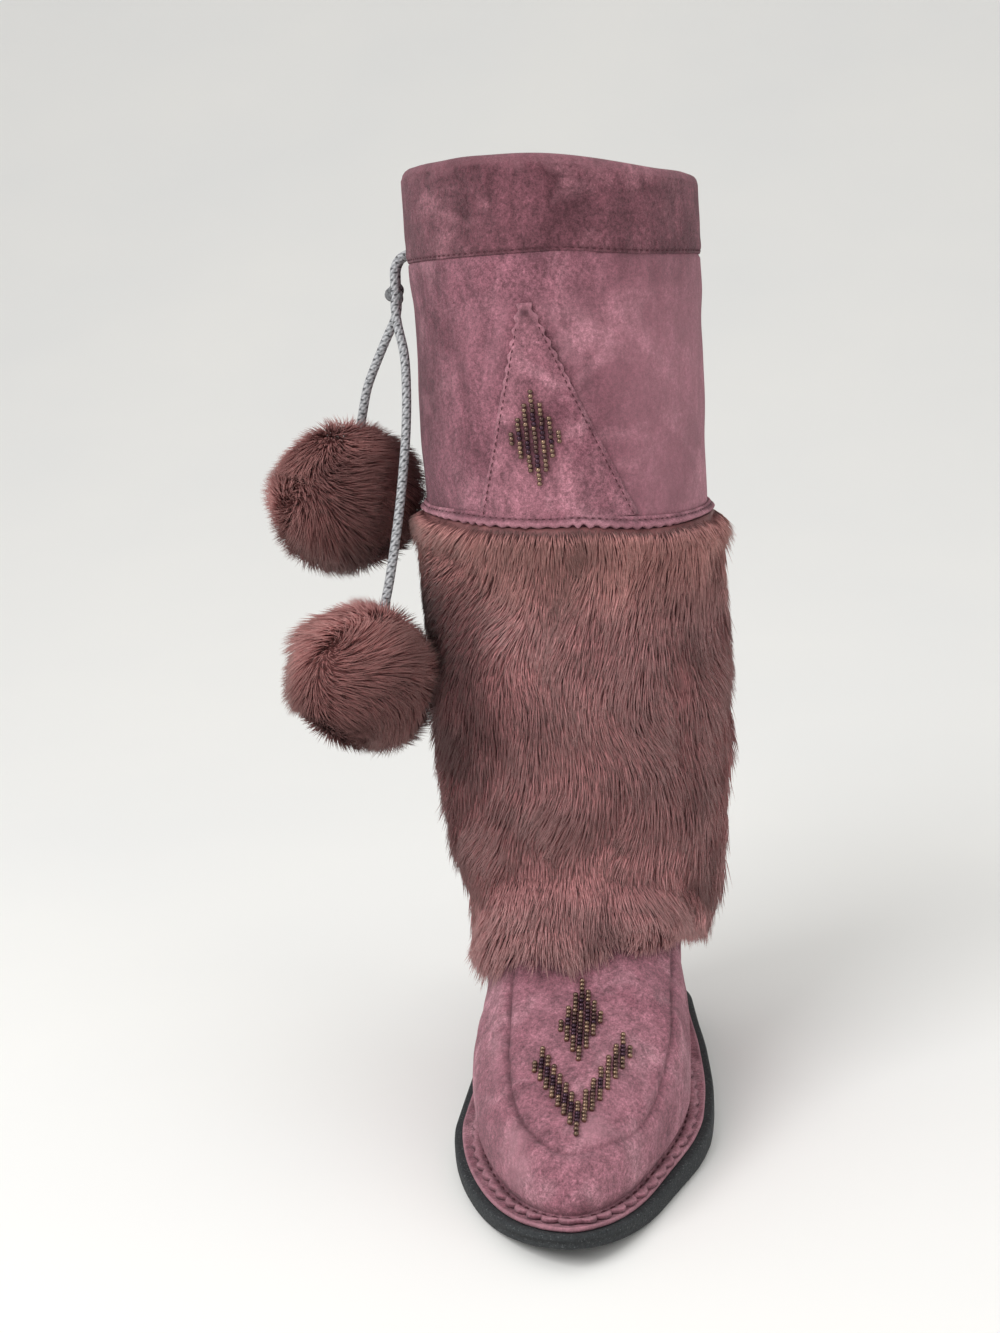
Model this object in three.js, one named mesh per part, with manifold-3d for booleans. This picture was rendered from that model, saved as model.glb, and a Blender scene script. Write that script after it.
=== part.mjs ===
// A fur-sleeved suede mukluk boot for the right foot, in millimetres.
// It stands on its sole with +Z up, the toe toward -Y and the inner ankle toward +X.
// Inside this file a place is given as x, the distance behind the toe tip, and the height.
import * as THREE from "three";
import { mergeVertices } from "three/addons/utils/BufferGeometryUtils.js";
import Module from "manifold-3d";

const wasm = await Module();
wasm.setup();
const { lerp, smoothstep } = THREE.MathUtils;

// Driving dimensions
const soleLength = 268;
const toeSpring = 9;
const toeSpringLength = 48;
const archRise = 3.5;
const collarUp = 391;
const collarDropOuter = 0.5;
const collarDropInner = 10;
const upperWall = 2.6;
const seamGap = 0.3;
const stripThickness = 1.8;
const rimWidth = 3.4;
const flangeWidth = 5.2;
const flangeThickness = 1.6;
const bandStep = 2;
const apronThickness = 1.4;
const insoleThickness = 5;
const cuffHeight = 37;
const cuffPly = 1.6;
const gussetThickness = 1.3;
const trimHeight = 4.6;
const trimThickness = 1.9;
const cordDiameter = 4;
const beadPitch = 1.8;
const columnPitch = 3;
const beadDiameter = 2.2;

// The sole's outline: half widths on the outer and inner side, before its ends are rounded.
const soleRows = [
  { behind: 0, outer: 54, inner: 42 },
  { behind: 55, outer: 55, inner: 44.5 },
  { behind: 90, outer: 54, inner: 49 },
  { behind: 130, outer: 52.5, inner: 51 },
  { behind: 165, outer: 50.5, inner: 49 },
  { behind: 200, outer: 47.5, inner: 45 },
  { behind: 235, outer: 44, inner: 41.5 },
  { behind: 268, outer: 40, inner: 38 },
];
const soleToeRound = 105;
const soleHeelRound = 42;

// The sole's thickness along its length.
const thicknessRows = [
  { behind: 0, thick: 5.8 },
  { behind: 60, thick: 8.5 },
  { behind: 130, thick: 12 },
  { behind: 190, thick: 16 },
  { behind: 268, thick: 17 },
];

// The last of the foot: half widths and ridge height of the sections across it.
const footRows = [
  { behind: 13, outer: 43, inner: 32.5, ridge: 33 },
  { behind: 35, outer: 43.2, inner: 34.8, ridge: 39 },
  { behind: 60, outer: 43.6, inner: 37.2, ridge: 49 },
  { behind: 90, outer: 42.8, inner: 40, ridge: 65 },
  { behind: 115, outer: 41, inner: 40.8, ridge: 82 },
  { behind: 140, outer: 38.5, inner: 38.8, ridge: 98 },
  { behind: 165, outer: 36.5, inner: 35.5, ridge: 100 },
  { behind: 200, outer: 34.5, inner: 32, ridge: 84 },
  { behind: 258, outer: 34, inner: 31.5, ridge: 52 },
];
const footToe = 13.5;
const footHeel = 254;
const toeWidthRound = 92;
const toeWidthPower = 1.6;
const toeHeightRound = 24;
const heelRound = 36;
const sectionPower = 2.35;
const widestShare = 0.36;
const featherTuck = 0.045;
const bluntTip = 0.004;
const farOutside = 40;

// The shaft: front, back and half width of the sections that lie level across it.
const shaftRows = [
  { up: 10, front: 178, back: 253, half: 30.5 },
  { up: 35, front: 168, back: 255.5, half: 33.5 },
  { up: 60, front: 158, back: 255, half: 36 },
  { up: 90, front: 147, back: 252, half: 44 },
  { up: 115, front: 138, back: 250, half: 50 },
  { up: 145, front: 134, back: 251, half: 54 },
  { up: 180, front: 132, back: 254, half: 56 },
  { up: 220, front: 132, back: 257, half: 58 },
  { up: 250, front: 132, back: 258.5, half: 59.2 },
  { up: 300, front: 133, back: 259.5, half: 59.8 },
  { up: 354, front: 134, back: 260, half: 59.2 },
  { up: 420, front: 134, back: 260, half: 58.8 },
];
const shaftPower = 2.12;
const instepBlend = 22;
const heelBlend = 9;

// Rings around the boot, from the featherline at 0 to the collar at 1. Each lies on a sheet
// that meets the front of the boot at one height and the back at another.
const backLine = 256;
const aimWidth = 44;
const ringRows = [
  { rise: 0, frontBehind: 13.5, frontUp: 20.4, backUp: 19.4 },
  { rise: 0.06, frontBehind: 16, frontUp: 28.5, backUp: 25 },
  { rise: 0.12, frontBehind: 30, frontUp: 37, backUp: 31 },
  { rise: 0.2, frontBehind: 60, frontUp: 49, backUp: 37 },
  { rise: 0.3, frontBehind: 93, frontUp: 67, backUp: 45 },
  { rise: 0.38, frontBehind: 119, frontUp: 85, backUp: 55 },
  { rise: 0.44, frontBehind: 133, frontUp: 103, backUp: 68 },
  { rise: 0.52, frontBehind: 133, frontUp: 128, backUp: 97 },
  { rise: 0.62, frontBehind: 132, frontUp: 170, backUp: 150 },
  { rise: 0.76, frontBehind: 132, frontUp: 232, backUp: 230 },
  { rise: 0.8, frontBehind: 132, frontUp: 250, backUp: 250 },
  { rise: 0.9, frontBehind: 133, frontUp: 320, backUp: 320 },
  { rise: 1, frontBehind: 134, frontUp: 395, backUp: 395 },
];
const bentRise = 0.2;

// The fur sleeve: how far its skin of hair stands off the upper.
const furRows = [
  { rise: 0.3, deep: 7 },
  { rise: 0.34, deep: 9.5 },
  { rise: 0.38, deep: 11.5 },
  { rise: 0.44, deep: 13.2 },
  { rise: 0.5, deep: 13.6 },
  { rise: 0.56, deep: 12.3 },
  { rise: 0.62, deep: 10 },
  { rise: 0.68, deep: 7.5 },
  { rise: 0.74, deep: 6 },
  { rise: 0.8, deep: 5.8 },
];
const hemRise = 0.34;
const hemBackLift = 0.02;
const seamUp = 253.4;
const seamDip = 5;
const seamInnerDrop = 7.2;

// A smooth curve through one column of a table that never swings past its rows.
function curveThrough(rows, along, column) {
  const at = rows.map((row) => row[along]);
  const value = rows.map((row) => row[column]);
  const slope = at.slice(1).map((next, i) => (value[i + 1] - value[i]) / (next - at[i]));
  const tangent = value.map((_, i) => {
    const before = slope[Math.max(0, i - 1)];
    const after = slope[Math.min(slope.length - 1, i)];
    return before * after <= 0 ? 0 : (2 * before * after) / (before + after);
  });
  return (place) => {
    const held = THREE.MathUtils.clamp(place, at[0], at[at.length - 1]);
    let i = 0;
    while (i < at.length - 2 && held > at[i + 1]) i += 1;
    const width = at[i + 1] - at[i];
    const t = (held - at[i]) / width;
    const rest = 1 - t;
    return (
      value[i] * (1 + 2 * t) * rest * rest +
      value[i + 1] * t * t * (3 - 2 * t) +
      tangent[i] * width * t * rest * rest -
      tangent[i + 1] * width * t * t * rest
    );
  };
}

// How full a rounded end is at a distance in from its tip, from almost 0 to 1.
function roundedEnd(inFrom, length, power = 2) {
  const left = THREE.MathUtils.clamp(1 - inFrom / length, 0, 1);
  return Math.max(bluntTip, Math.pow(1 - Math.pow(left, power), 1 / power));
}

// Sole surfaces
const soleThickness = curveThrough(thicknessRows, "behind", "thick");
const soleOuter = curveThrough(soleRows, "behind", "outer");
const soleInner = curveThrough(soleRows, "behind", "inner");

function soleUnder(behind) {
  const lift = Math.max(0, 1 - behind / toeSpringLength);
  return toeSpring * lift * lift;
}

function soleTop(behind) {
  return soleUnder(behind) + soleThickness(behind);
}

function featherUp(behind) {
  return soleTop(behind) + stripThickness + 2 * seamGap;
}

// Foot and shaft: each gives how far a place lies outside it, in rough millimetres.
const footOuter = curveThrough(footRows, "behind", "outer");
const footInner = curveThrough(footRows, "behind", "inner");
const footRidge = curveThrough(footRows, "behind", "ridge");
const shaftFront = curveThrough(shaftRows, "up", "front");
const shaftBack = curveThrough(shaftRows, "up", "back");
const shaftHalf = curveThrough(shaftRows, "up", "half");

function footGap(x, behind, up) {
  if (behind <= footToe || behind >= footHeel) return farOutside;
  const toeFull = roundedEnd(behind - footToe, toeWidthRound, toeWidthPower);
  const heelFull = roundedEnd(footHeel - behind, heelRound);
  const side = x > 0 ? footInner(behind) : footOuter(behind);
  const feather = featherUp(behind);
  const height = (footRidge(behind) - feather) * roundedEnd(behind - footToe, toeHeightRound);
  const widest = feather + widestShare * height;
  const below = THREE.MathUtils.clamp((widest - up) / (widestShare * height), 0, 1.5);
  const half = side * toeFull * heelFull * (1 - featherTuck * below * below);
  const across = Math.abs(x) / half;
  const above = Math.max(0, up - widest) / ((1 - widestShare) * height);
  const reach = Math.pow(across ** sectionPower + above ** sectionPower, 1 / sectionPower);
  return (reach - 1) * Math.min(half, (1 - widestShare) * height);
}

function shaftGap(x, behind, up) {
  const front = shaftFront(up);
  const back = shaftBack(up);
  const half = shaftHalf(up);
  const deep = (back - front) / 2;
  const across = Math.abs(x) / half;
  const along = Math.abs(behind - (front + back) / 2) / deep;
  const reach = Math.pow(across ** shaftPower + along ** shaftPower, 1 / shaftPower);
  return (reach - 1) * Math.min(half, deep);
}

// Foot and shaft flow into one another with a fillet, wide at the instep, tight at the heel.
function bootGap(x, behind, up) {
  const foot = footGap(x, behind, up);
  const shaft = shaftGap(x, behind, up);
  const blend = lerp(instepBlend, heelBlend, smoothstep(behind, 165, 225));
  const near = Math.max(0, blend - Math.abs(foot - shaft)) / blend;
  return Math.min(foot, shaft) - (near * near * blend) / 4;
}

const ringFrontBehind = curveThrough(ringRows, "rise", "frontBehind");
const ringFrontUp = curveThrough(ringRows, "rise", "frontUp");
const ringBackUp = curveThrough(ringRows, "rise", "backUp");

// Height of a ring's sheet. The lowest rings bend with the sole.
function sheetUp(rise, behind) {
  const front = ringFrontBehind(rise);
  const share = (behind - front) / (backLine - front);
  const level = lerp(ringFrontUp(rise), ringBackUp(rise), share);
  const chord = lerp(ringFrontUp(0), ringBackUp(0), (behind - footToe) / (backLine - footToe));
  const bent = 1 - smoothstep(rise, 0, bentRise);
  return level + bent * (featherUp(behind) - chord);
}

function place(x, behind, up) {
  return new THREE.Vector3(x, behind - soleLength / 2, up);
}

function outward(point) {
  const step = 0.5;
  const behind = point.y + soleLength / 2;
  const gap = (dx, dy, dz) => bootGap(point.x + dx, behind + dy, point.z + dz);
  return new THREE.Vector3(
    gap(step, 0, 0) - gap(-step, 0, 0),
    gap(0, step, 0) - gap(0, -step, 0),
    gap(0, 0, step) - gap(0, 0, -step),
  ).normalize();
}

// Where a test that holds at the start and fails at the end stops holding.
function halved(start, end, holds) {
  let good = start;
  let bad = end;
  for (let i = 0; i < 26; i += 1) {
    const middle = (good + bad) / 2;
    if (holds(middle)) good = middle;
    else bad = middle;
  }
  return good;
}

// A place on the boot: turn runs once around from the back over the inner side,
// rise runs from featherline to collar, and out is the distance off the last.
function onBoot(turn, rise, out = 0) {
  const front = ringFrontBehind(rise);
  const centre = (front + backLine) / 2;
  const angle = turn * 2 * Math.PI;
  const deep = backLine - centre;
  const aim = new THREE.Vector2(aimWidth * Math.sin(angle), deep * Math.cos(angle)).normalize();
  const near = halved(0, 160, (middle) => {
    const behind = centre + middle * aim.y;
    return bootGap(middle * aim.x, behind, sheetUp(rise, behind)) < 0;
  });
  const behind = centre + near * aim.y;
  const point = place(near * aim.x, behind, sheetUp(rise, behind));
  return point.addScaledVector(outward(point), out);
}

// The last seen from above: the highest place over x and behind.
function overFoot(x, behind, out = 0) {
  const up = halved(featherUp(behind), 140, (middle) => bootGap(x, behind, middle) < 0);
  const point = place(x, behind, up);
  return point.addScaledVector(outward(point), out);
}

// The rise at which the level rings of the shaft reach a height.
function riseAt(up) {
  return halved(0.76, 1, (rise) => ringFrontUp(rise) < up);
}

// Solids
function solidFrom(points, faces) {
  const geometry = new THREE.BufferGeometry().setFromPoints(points);
  geometry.setIndex(faces);
  return solidOf(geometry);
}

function bareGeometry(geometry) {
  const bare = geometry.clone();
  bare.deleteAttribute("normal");
  bare.deleteAttribute("uv");
  return bare;
}

function solidOf(geometry) {
  const merged = mergeVertices(bareGeometry(geometry), 1e-3);
  const index = merged.index.array;
  const kept = [];
  for (let i = 0; i < index.length; i += 3) {
    const [a, b, c] = [index[i], index[i + 1], index[i + 2]];
    if (a !== b && b !== c && c !== a) kept.push(a, b, c);
  }
  return new wasm.Manifold(
    new wasm.Mesh({
      numProp: 3,
      vertProperties: new Float32Array(merged.attributes.position.array),
      triVerts: new Uint32Array(kept),
    }),
  );
}

// A closed profile carried around the boot: rings[i] is the profile at the i-th turn.
function closedBand(rings) {
  const count = rings[0].length;
  const faces = [];
  rings.forEach((_, i) => {
    const here = i * count;
    const there = ((i + 1) % rings.length) * count;
    for (let j = 0; j < count; j += 1) {
      const next = (j + 1) % count;
      faces.push(here + j, there + next, there + j, here + j, here + next, there + next);
    }
  });
  return solidFrom(rings.flat(), faces);
}

// A slab between a lower and an upper sheet of places, each a table of rows.
function slab(lower, upper) {
  const rows = lower.length;
  const columns = lower[0].length;
  const lift = rows * columns;
  const faces = [];
  const quad = (a, b, c, d) => faces.push(a, b, c, a, c, d);
  for (let i = 0; i < rows - 1; i += 1) {
    for (let j = 0; j < columns - 1; j += 1) {
      const a = i * columns + j;
      const b = a + 1;
      const c = a + columns + 1;
      const d = a + columns;
      quad(a + lift, b + lift, c + lift, d + lift);
      quad(a, d, c, b);
    }
  }
  for (let j = 0; j < columns - 1; j += 1) {
    const end = (rows - 1) * columns + j;
    quad(j, j + 1, j + 1 + lift, j + lift);
    quad(end + 1, end, end + lift, end + 1 + lift);
  }
  for (let i = 0; i < rows - 1; i += 1) {
    const start = i * columns;
    const end = start + columns - 1;
    quad(start + columns, start, start + lift, start + columns + lift);
    quad(end, end + columns, end + columns + lift, end + lift);
  }
  return solidFrom([...lower.flat(), ...upper.flat()], faces);
}

const turns = (count) => Array.from({ length: count }, (_, i) => i / count);
const spread = (from, to, steps) =>
  Array.from({ length: steps + 1 }, (_, i) => lerp(from, to, i / steps));

// Finishes: colour, roughness and metalness of each kind of piece
const finishes = {
  cuffSuede: [0x7d5360, 0.96, 0],
  shaftSuede: [0x946676, 0.95, 0],
  footSuede: [0xb27a8c, 0.95, 0],
  fur: [0x7d5453, 0.9, 0],
  pomFur: [0x6c4040, 0.9, 0],
  rubber: [0x26292b, 0.8, 0],
  lining: [0xa88f8b, 1, 0],
  cord: [0xb4b6b8, 0.7, 0],
  beads: [0x5a4032, 0.3, 0.6],
};

const boot = new THREE.Group();

function add(name, solid, finish) {
  const { vertProperties, triVerts } = solid.getMesh();
  const geometry = new THREE.BufferGeometry();
  geometry.setAttribute("position", new THREE.BufferAttribute(vertProperties, 3));
  geometry.setIndex(new THREE.BufferAttribute(triVerts, 1));
  geometry.computeVertexNormals();
  const [color, roughness, metalness] = finishes[finish];
  const mesh = new THREE.Mesh(geometry, new THREE.MeshStandardMaterial({ color, roughness, metalness }));
  mesh.name = name;
  boot.add(mesh);
}

// Outsole
// One place on the sole's outline, set in from its edge.
function soleEdge(turn, inset) {
  const angle = turn * 2 * Math.PI;
  const half = soleLength / 2 - inset;
  const behind = soleLength / 2 + half * Math.cos(angle);
  const toeFull = roundedEnd(behind - inset, soleToeRound - inset, toePower);
  const heelFull = roundedEnd(soleLength - inset - behind, soleHeelRound - inset, heelPower);
  const inner = Math.sin(angle) > 0;
  const side = (inner ? soleInner(behind) : soleOuter(behind)) - inset;
  return { x: (inner ? 1 : -1) * side * toeFull * heelFull, behind };
}

const toePower = 1.55;
const heelPower = 2.15;
const treadChannels = [52, 66, 80, 94, 108, 206, 220, 234, 248];
const channelWidth = 3.6;
const channelDepth = 2.2;
const treadMargin = 8.5;

// The underside leaves the floor under the arch.
function archUnder(behind) {
  const share = smoothstep(behind, 122, 152) * (1 - smoothstep(behind, 172, 200));
  return soleUnder(behind) + archRise * share;
}

function makeOutsole() {
  const around = 60;
  const levels = [
    { inset: 2.2, height: (behind) => archUnder(behind) },
    { inset: 0.5, height: (behind) => archUnder(behind) + 1.8 },
    { inset: 0, height: (behind) => soleTop(behind) - 4 },
    { inset: 0, height: (behind) => soleTop(behind) - 0.8 },
    { inset: 0.8, height: (behind) => soleTop(behind) },
  ];
  const points = levels.flatMap(({ inset, height }) =>
    turns(around).map((turn) => {
      const { x, behind } = soleEdge(turn, inset);
      return place(x, behind, height(behind));
    }),
  );
  const faces = [];
  for (let level = 0; level < levels.length - 1; level += 1) {
    for (let i = 0; i < around; i += 1) {
      const next = (i + 1) % around;
      const low = level * around;
      const high = low + around;
      faces.push(low + i, high + i, high + next, low + i, high + next, low + next);
    }
  }
  const top = (levels.length - 1) * around;
  for (let i = 0; i < around / 2; i += 1) {
    const [a, b, c, d] = [i, i + 1, (around - i - 1) % around, (around - i) % around];
    faces.push(a, b, c, a, c, d);
    faces.push(top + a, top + c, top + b, top + a, top + d, top + c);
  }
  let sole = solidFrom(points, faces);
  treadChannels.forEach((behind) => {
    const toeFull = roundedEnd(behind, soleToeRound, toePower);
    const heelFull = roundedEnd(soleLength - behind, soleHeelRound, heelPower);
    const outer = soleOuter(behind) * toeFull * heelFull - treadMargin;
    const inner = soleInner(behind) * toeFull * heelFull - treadMargin;
    const channel = new THREE.BoxGeometry(outer + inner, channelWidth, 2 * channelDepth);
    channel.translate((inner - outer) / 2, behind - soleLength / 2, 0);
    sole = sole.subtract(solidOf(channel));
  });
  return sole;
}

add("outsole", makeOutsole(), "rubber");

// Upper: one wall from the turned-out flange to the collar, open below and at the top
function bandOut(rise) {
  return bandStep * smoothstep(rise, 0, 0.05) * (1 - smoothstep(rise, 0.42, 0.52));
}

function levelOut(turn, out, up) {
  const point = onBoot(turn, 0, 0);
  const away = outward(point).setZ(0).normalize();
  const moved = point.addScaledVector(away, out);
  return moved.setZ(featherUp(moved.y + soleLength / 2) + up);
}

const aroundCount = 40;
const cuffRise = riseAt(collarUp - cuffHeight);
const footRises = [0.03, 0.06, 0.1, 0.14, 0.19, 0.25, 0.31, 0.345];
const outerRises = [...footRises, 0.38, 0.415, 0.45, 0.49, 0.54, 0.61, 0.7, 0.8, cuffRise];
const innerRises = [cuffRise, 0.78, 0.65, 0.55, 0.47, 0.41, 0.34, 0.25, 0.15, 0.05];

// The collar's edge is highest left of the front's middle and drops to both sides.
const collarPeak = -0.35;
const collarCurve = 1.8;

function collarAt(turn) {
  const side = Math.sin(turn * 2 * Math.PI) - collarPeak;
  const drop =
    side > 0
      ? collarDropInner * Math.pow(side / (1 - collarPeak), collarCurve)
      : collarDropOuter * Math.pow(side / (1 + collarPeak), 2);
  return collarUp - drop;
}

// Apron: the plug over the toes, a tongue shape seen from above
const apronHalf = 30;
const apronTip = 25.3;
const apronRound = 70;
const apronPower = 1.9;
const apronBack = 124;
const apronShift = 4.5;
const apronShiftFrom = 20;
const apronShiftTo = 115;
const recessTop = 6;

function apronSheet(out, outset) {
  const stations = spread(0, 1, 10).map((t) => lerp(apronTip - outset, apronBack + outset, t ** 1.7));
  return stations.map((behind) => {
    const half = (apronHalf + outset) * roundedEnd(behind - apronTip + outset, apronRound, apronPower);
    const middle = apronShift * smoothstep(behind, apronShiftFrom, apronShiftTo);
    return spread(-1, 1, 8).map((t) => overFoot(middle + Math.sin((t * Math.PI) / 2) * half, behind, out));
  });
}

function makeUpper() {
  const rings = turns(aroundCount).map((turn) => [
    levelOut(turn, -upperWall, 0),
    levelOut(turn, flangeWidth, 0),
    levelOut(turn, flangeWidth, flangeThickness),
    levelOut(turn, 0.2, flangeThickness + 0.1),
    ...outerRises.map((rise) => onBoot(turn, rise, bandOut(rise))),
    onBoot(turn, riseAt(collarAt(turn)), 0),
    onBoot(turn, riseAt(collarAt(turn)), -upperWall),
    ...innerRises.map((rise) => onBoot(turn, rise, -upperWall)),
  ]);
  const recess = slab(apronSheet(0, seamGap), apronSheet(recessTop, seamGap));
  return closedBand(rings).subtract(recess);
}

add("upper", makeUpper(), "footSuede");
const apronFace = seamGap + apronThickness;
add("apron", slab(apronSheet(seamGap, 0), apronSheet(apronFace, 0)), "footSuede");

// Insole: a board across the inside, from one edge to the other
const insoleCount = 36;
const insoleInset = 1.2;

function makeInsole() {
  const sheet = (up) => {
    const edge = turns(insoleCount).map((turn) => levelOut(turn, -upperWall - insoleInset, up));
    const half = insoleCount / 2;
    const rows = edge.slice(0, half + 1).map((place, i) => [edge[(insoleCount - i) % insoleCount], place]);
    return rows.reverse();
  };
  return slab(sheet(-stripThickness - seamGap), sheet(insoleThickness - stripThickness));
}

add("insole", makeInsole(), "lining");

// Welt strip: lies on the sole's edge, its inner edge under the upper's wall
const stripInset = 0.5;

const stripPressed = 0.3;

function makeStrip() {
  const up = new THREE.Vector3(0, 0, stripThickness - stripPressed);
  const rings = turns(44).map((turn) => {
    const inner = levelOut(turn, stripInset - upperWall, 0);
    const { x, behind } = soleEdge(turn, rimWidth);
    const innerLow = inner.clone().setZ(soleTop(inner.y + soleLength / 2) + seamGap);
    const outerLow = place(x, behind, soleTop(behind) + seamGap);
    return [innerLow, outerLow, outerLow.clone().add(up), innerLow.clone().add(up)];
  });
  return closedBand(rings);
}

add("welt_strip", makeStrip(), "footSuede");

// Cuff: outer ply, fold over the collar and inner ply, with a slot for the drawstring
const cordSide = 63;
const slot = { x: -61.2, up: 359.2, deep: 3.8, width: 10.4, height: 6.2 };
const foldRound = 0.7;

function overCollar(turn, out, lift) {
  const point = onBoot(turn, riseAt(collarAt(turn)), out);
  return point.setZ(collarAt(turn) + lift);
}

function makeCuff() {
  const outerFace = seamGap + cuffPly;
  const innerFace = -upperWall - seamGap - cuffPly;
  const rings = turns(aroundCount).map((turn) => [
    onBoot(turn, cuffRise, outerFace),
    overCollar(turn, outerFace, 0),
    overCollar(turn, outerFace - foldRound, outerFace),
    overCollar(turn, innerFace + foldRound, outerFace),
    overCollar(turn, innerFace, 0),
    onBoot(turn, cuffRise, innerFace),
    onBoot(turn, cuffRise, -upperWall - seamGap),
    overCollar(turn, -upperWall - seamGap, seamGap),
    overCollar(turn, seamGap, seamGap),
    onBoot(turn, cuffRise, seamGap),
  ]);
  const opening = new THREE.BoxGeometry(slot.deep, slot.width, slot.height);
  opening.translate(slot.x, cordSide, slot.up);
  return closedBand(rings).subtract(solidOf(opening));
}

add("cuff", makeCuff(), "cuffSuede");

// Gusset: a leaning triangle on the shaft's front
const gussetApexUp = 336;
const gussetBaseHalf = 32.2;
const gussetTipHalf = 2.2;
const gussetBaseX = -0.2;
const gussetApexX = -8;
const gussetGap = 0.45;
const gussetLift = 1.2;

function frontOfShaft(x, up, out) {
  const behind = halved(197, 60, (middle) => bootGap(x, middle, up) < 0);
  const point = place(x, behind, up);
  return point.addScaledVector(outward(point), out);
}

function gussetSheet(out) {
  const baseUp = seamUp + trimHeight + gussetLift;
  return spread(0, 1, 4).map((t) => {
    const half = lerp(gussetBaseHalf, gussetTipHalf, t);
    const middle = lerp(gussetBaseX, gussetApexX, t);
    const up = lerp(baseUp, gussetApexUp, t);
    return spread(-1, 1, 8).map((side) => frontOfShaft(middle + side * half, up, out));
  });
}

const gussetFace = gussetGap + gussetThickness;
add("gusset", slab(gussetSheet(gussetGap), gussetSheet(gussetFace)), "shaftSuede");

// Fur trim: a narrow edging round the shaft over the fur's upper edge, lower on the inner side
function seamAt(turn) {
  const front = Math.max(0, -Math.cos(turn * 2 * Math.PI));
  const inner = smoothstep(Math.sin(turn * 2 * Math.PI), 0.1, 0.95);
  return seamUp - seamDip * front * front - seamInnerDrop * inner;
}

function makeTrim() {
  const face = seamGap + trimThickness;
  const rings = turns(aroundCount).map((turn) => {
    const low = riseAt(seamAt(turn) + seamGap);
    const high = riseAt(seamAt(turn) + trimHeight);
    return [
      onBoot(turn, low, seamGap),
      onBoot(turn, low, face),
      onBoot(turn, high, face),
      onBoot(turn, high, seamGap),
    ];
  });
  return closedBand(rings);
}

add("fur_trim", makeTrim(), "shaftSuede");

// Fur sleeve: a skin of hair round ankle and shaft, with locks joined on
const furDeep = curveThrough(furRows, "rise", "deep");
const furLining = 1.15;
const furMiddleRises = outerRises.filter((rise) => rise > 0.37 && rise < 0.75);
const hemShare = 0.7;
const topShare = 0.78;

function hemAt(turn) {
  return hemRise + hemBackLift * (0.5 + 0.5 * Math.cos(turn * 2 * Math.PI));
}

function furOut(rise, share) {
  return bandOut(rise) + seamGap + furDeep(rise) * share;
}

// Rows of locks from the hem up. Outs are shares of the fur's depth.
const lockRows = [
  { low: 0.305, high: 0.4, count: 16, rootOut: 0.6, tipOut: 0.45, wide: 17, thick: 4 },
  { low: 0.4, high: 0.48, count: 8, rootOut: 0.92, tipOut: 1.1, wide: 20, thick: 4 },
  { low: 0.49, high: 0.57, count: 9, rootOut: 0.92, tipOut: 1.12, wide: 20, thick: 4 },
  { low: 0.58, high: 0.67, count: 8, rootOut: 0.9, tipOut: 1.16, wide: 21, thick: 4 },
  { low: 0.67, high: 0.77, count: 9, rootOut: 0.8, tipOut: 1.24, wide: 21, thick: 4 },
];
const lockDrift = 0.006;

function makeLock(root, tip, wide, thick) {
  const along = tip.clone().sub(root);
  const middle = root.clone().add(tip).multiplyScalar(0.5);
  const off = outward(middle);
  const side = new THREE.Vector3().crossVectors(along, off).normalize();
  const geometry = new THREE.OctahedronGeometry(1, 0);
  const basis = new THREE.Matrix4().makeBasis(
    side.multiplyScalar(wide / 2),
    along.multiplyScalar(0.5),
    off.multiplyScalar(thick / 2),
  );
  return solidOf(geometry.applyMatrix4(basis.setPosition(middle)));
}

function makeSleeve() {
  const rings = turns(aroundCount).map((turn) => {
    const top = riseAt(seamAt(turn) - seamGap);
    const hem = hemAt(turn);
    return [
      onBoot(turn, hem, furOut(hem, hemShare)),
      ...furMiddleRises.map((rise) => onBoot(turn, rise, furOut(rise, 1))),
      onBoot(turn, top, furOut(top, topShare)),
      ...[top, ...[...furMiddleRises].reverse(), hem].map((rise) =>
        onBoot(turn, rise, bandOut(rise) + furLining),
      ),
    ];
  });
  const locks = lockRows.flatMap(({ low, high, count, rootOut, tipOut, wide, thick }, row) =>
    turns(count).map((step) => {
      const turn = step + (row % 2) / (2 * count);
      const root = onBoot(turn, high, furOut(high, rootOut));
      const tip = onBoot(turn + lockDrift, low, furOut(low, tipOut));
      return makeLock(root, tip, wide, thick);
    }),
  );
  return locks.reduce((all, lock) => all.add(lock), closedBand(rings));
}

add("fur_sleeve", makeSleeve(), "fur");

// Beadwork: each column of beads is a bar on a thin backing
const beadBacking = 0.5;
const beadJoin = 0.01;
const shortColumn = 9;

function makeBeadwork(columns, pitch, steps, surface) {
  const bars = columns.map(({ column, from, beads }) => {
    const middle = column * pitch;
    const rows = spread(from * beadPitch, (from + beads) * beadPitch, beads > shortColumn ? steps : 1);
    const edge = pitch / 2 + beadJoin;
    const across = [-edge, -beadDiameter / 3, beadDiameter / 3, edge];
    const tops = [beadBacking, beadDiameter, beadDiameter, beadBacking];
    const lower = rows.map((along) => across.map((x) => surface(middle + x, along, 0)));
    const upper = rows.map((along) => across.map((x, i) => surface(middle + x, along, tops[i])));
    return slab(lower, upper);
  });
  return bars.reduce((all, bar) => all.add(bar));
}

// A diamond of seven columns: 3, 9, 15, 21, 15, 9 and 3 beads, all about one middle.
const diamond = [-3, -2, -1, 0, 1, 2, 3].map((column) => {
  const beads = 21 - 6 * Math.abs(column);
  return { column, beads, from: -beads / 2 };
});

// A chevron of columns of nine, each three beads above the last, and a short one at each end.
const chevron = [-7, -6, -5, -4, -3, -2, -1, 0, 1, 2, 3, 4, 5, 6, 7].map((column) => {
  const step = Math.abs(column);
  return step === 7 ? { column, beads: 3, from: 21 } : { column, beads: shortColumn, from: 3 * step };
});

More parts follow.
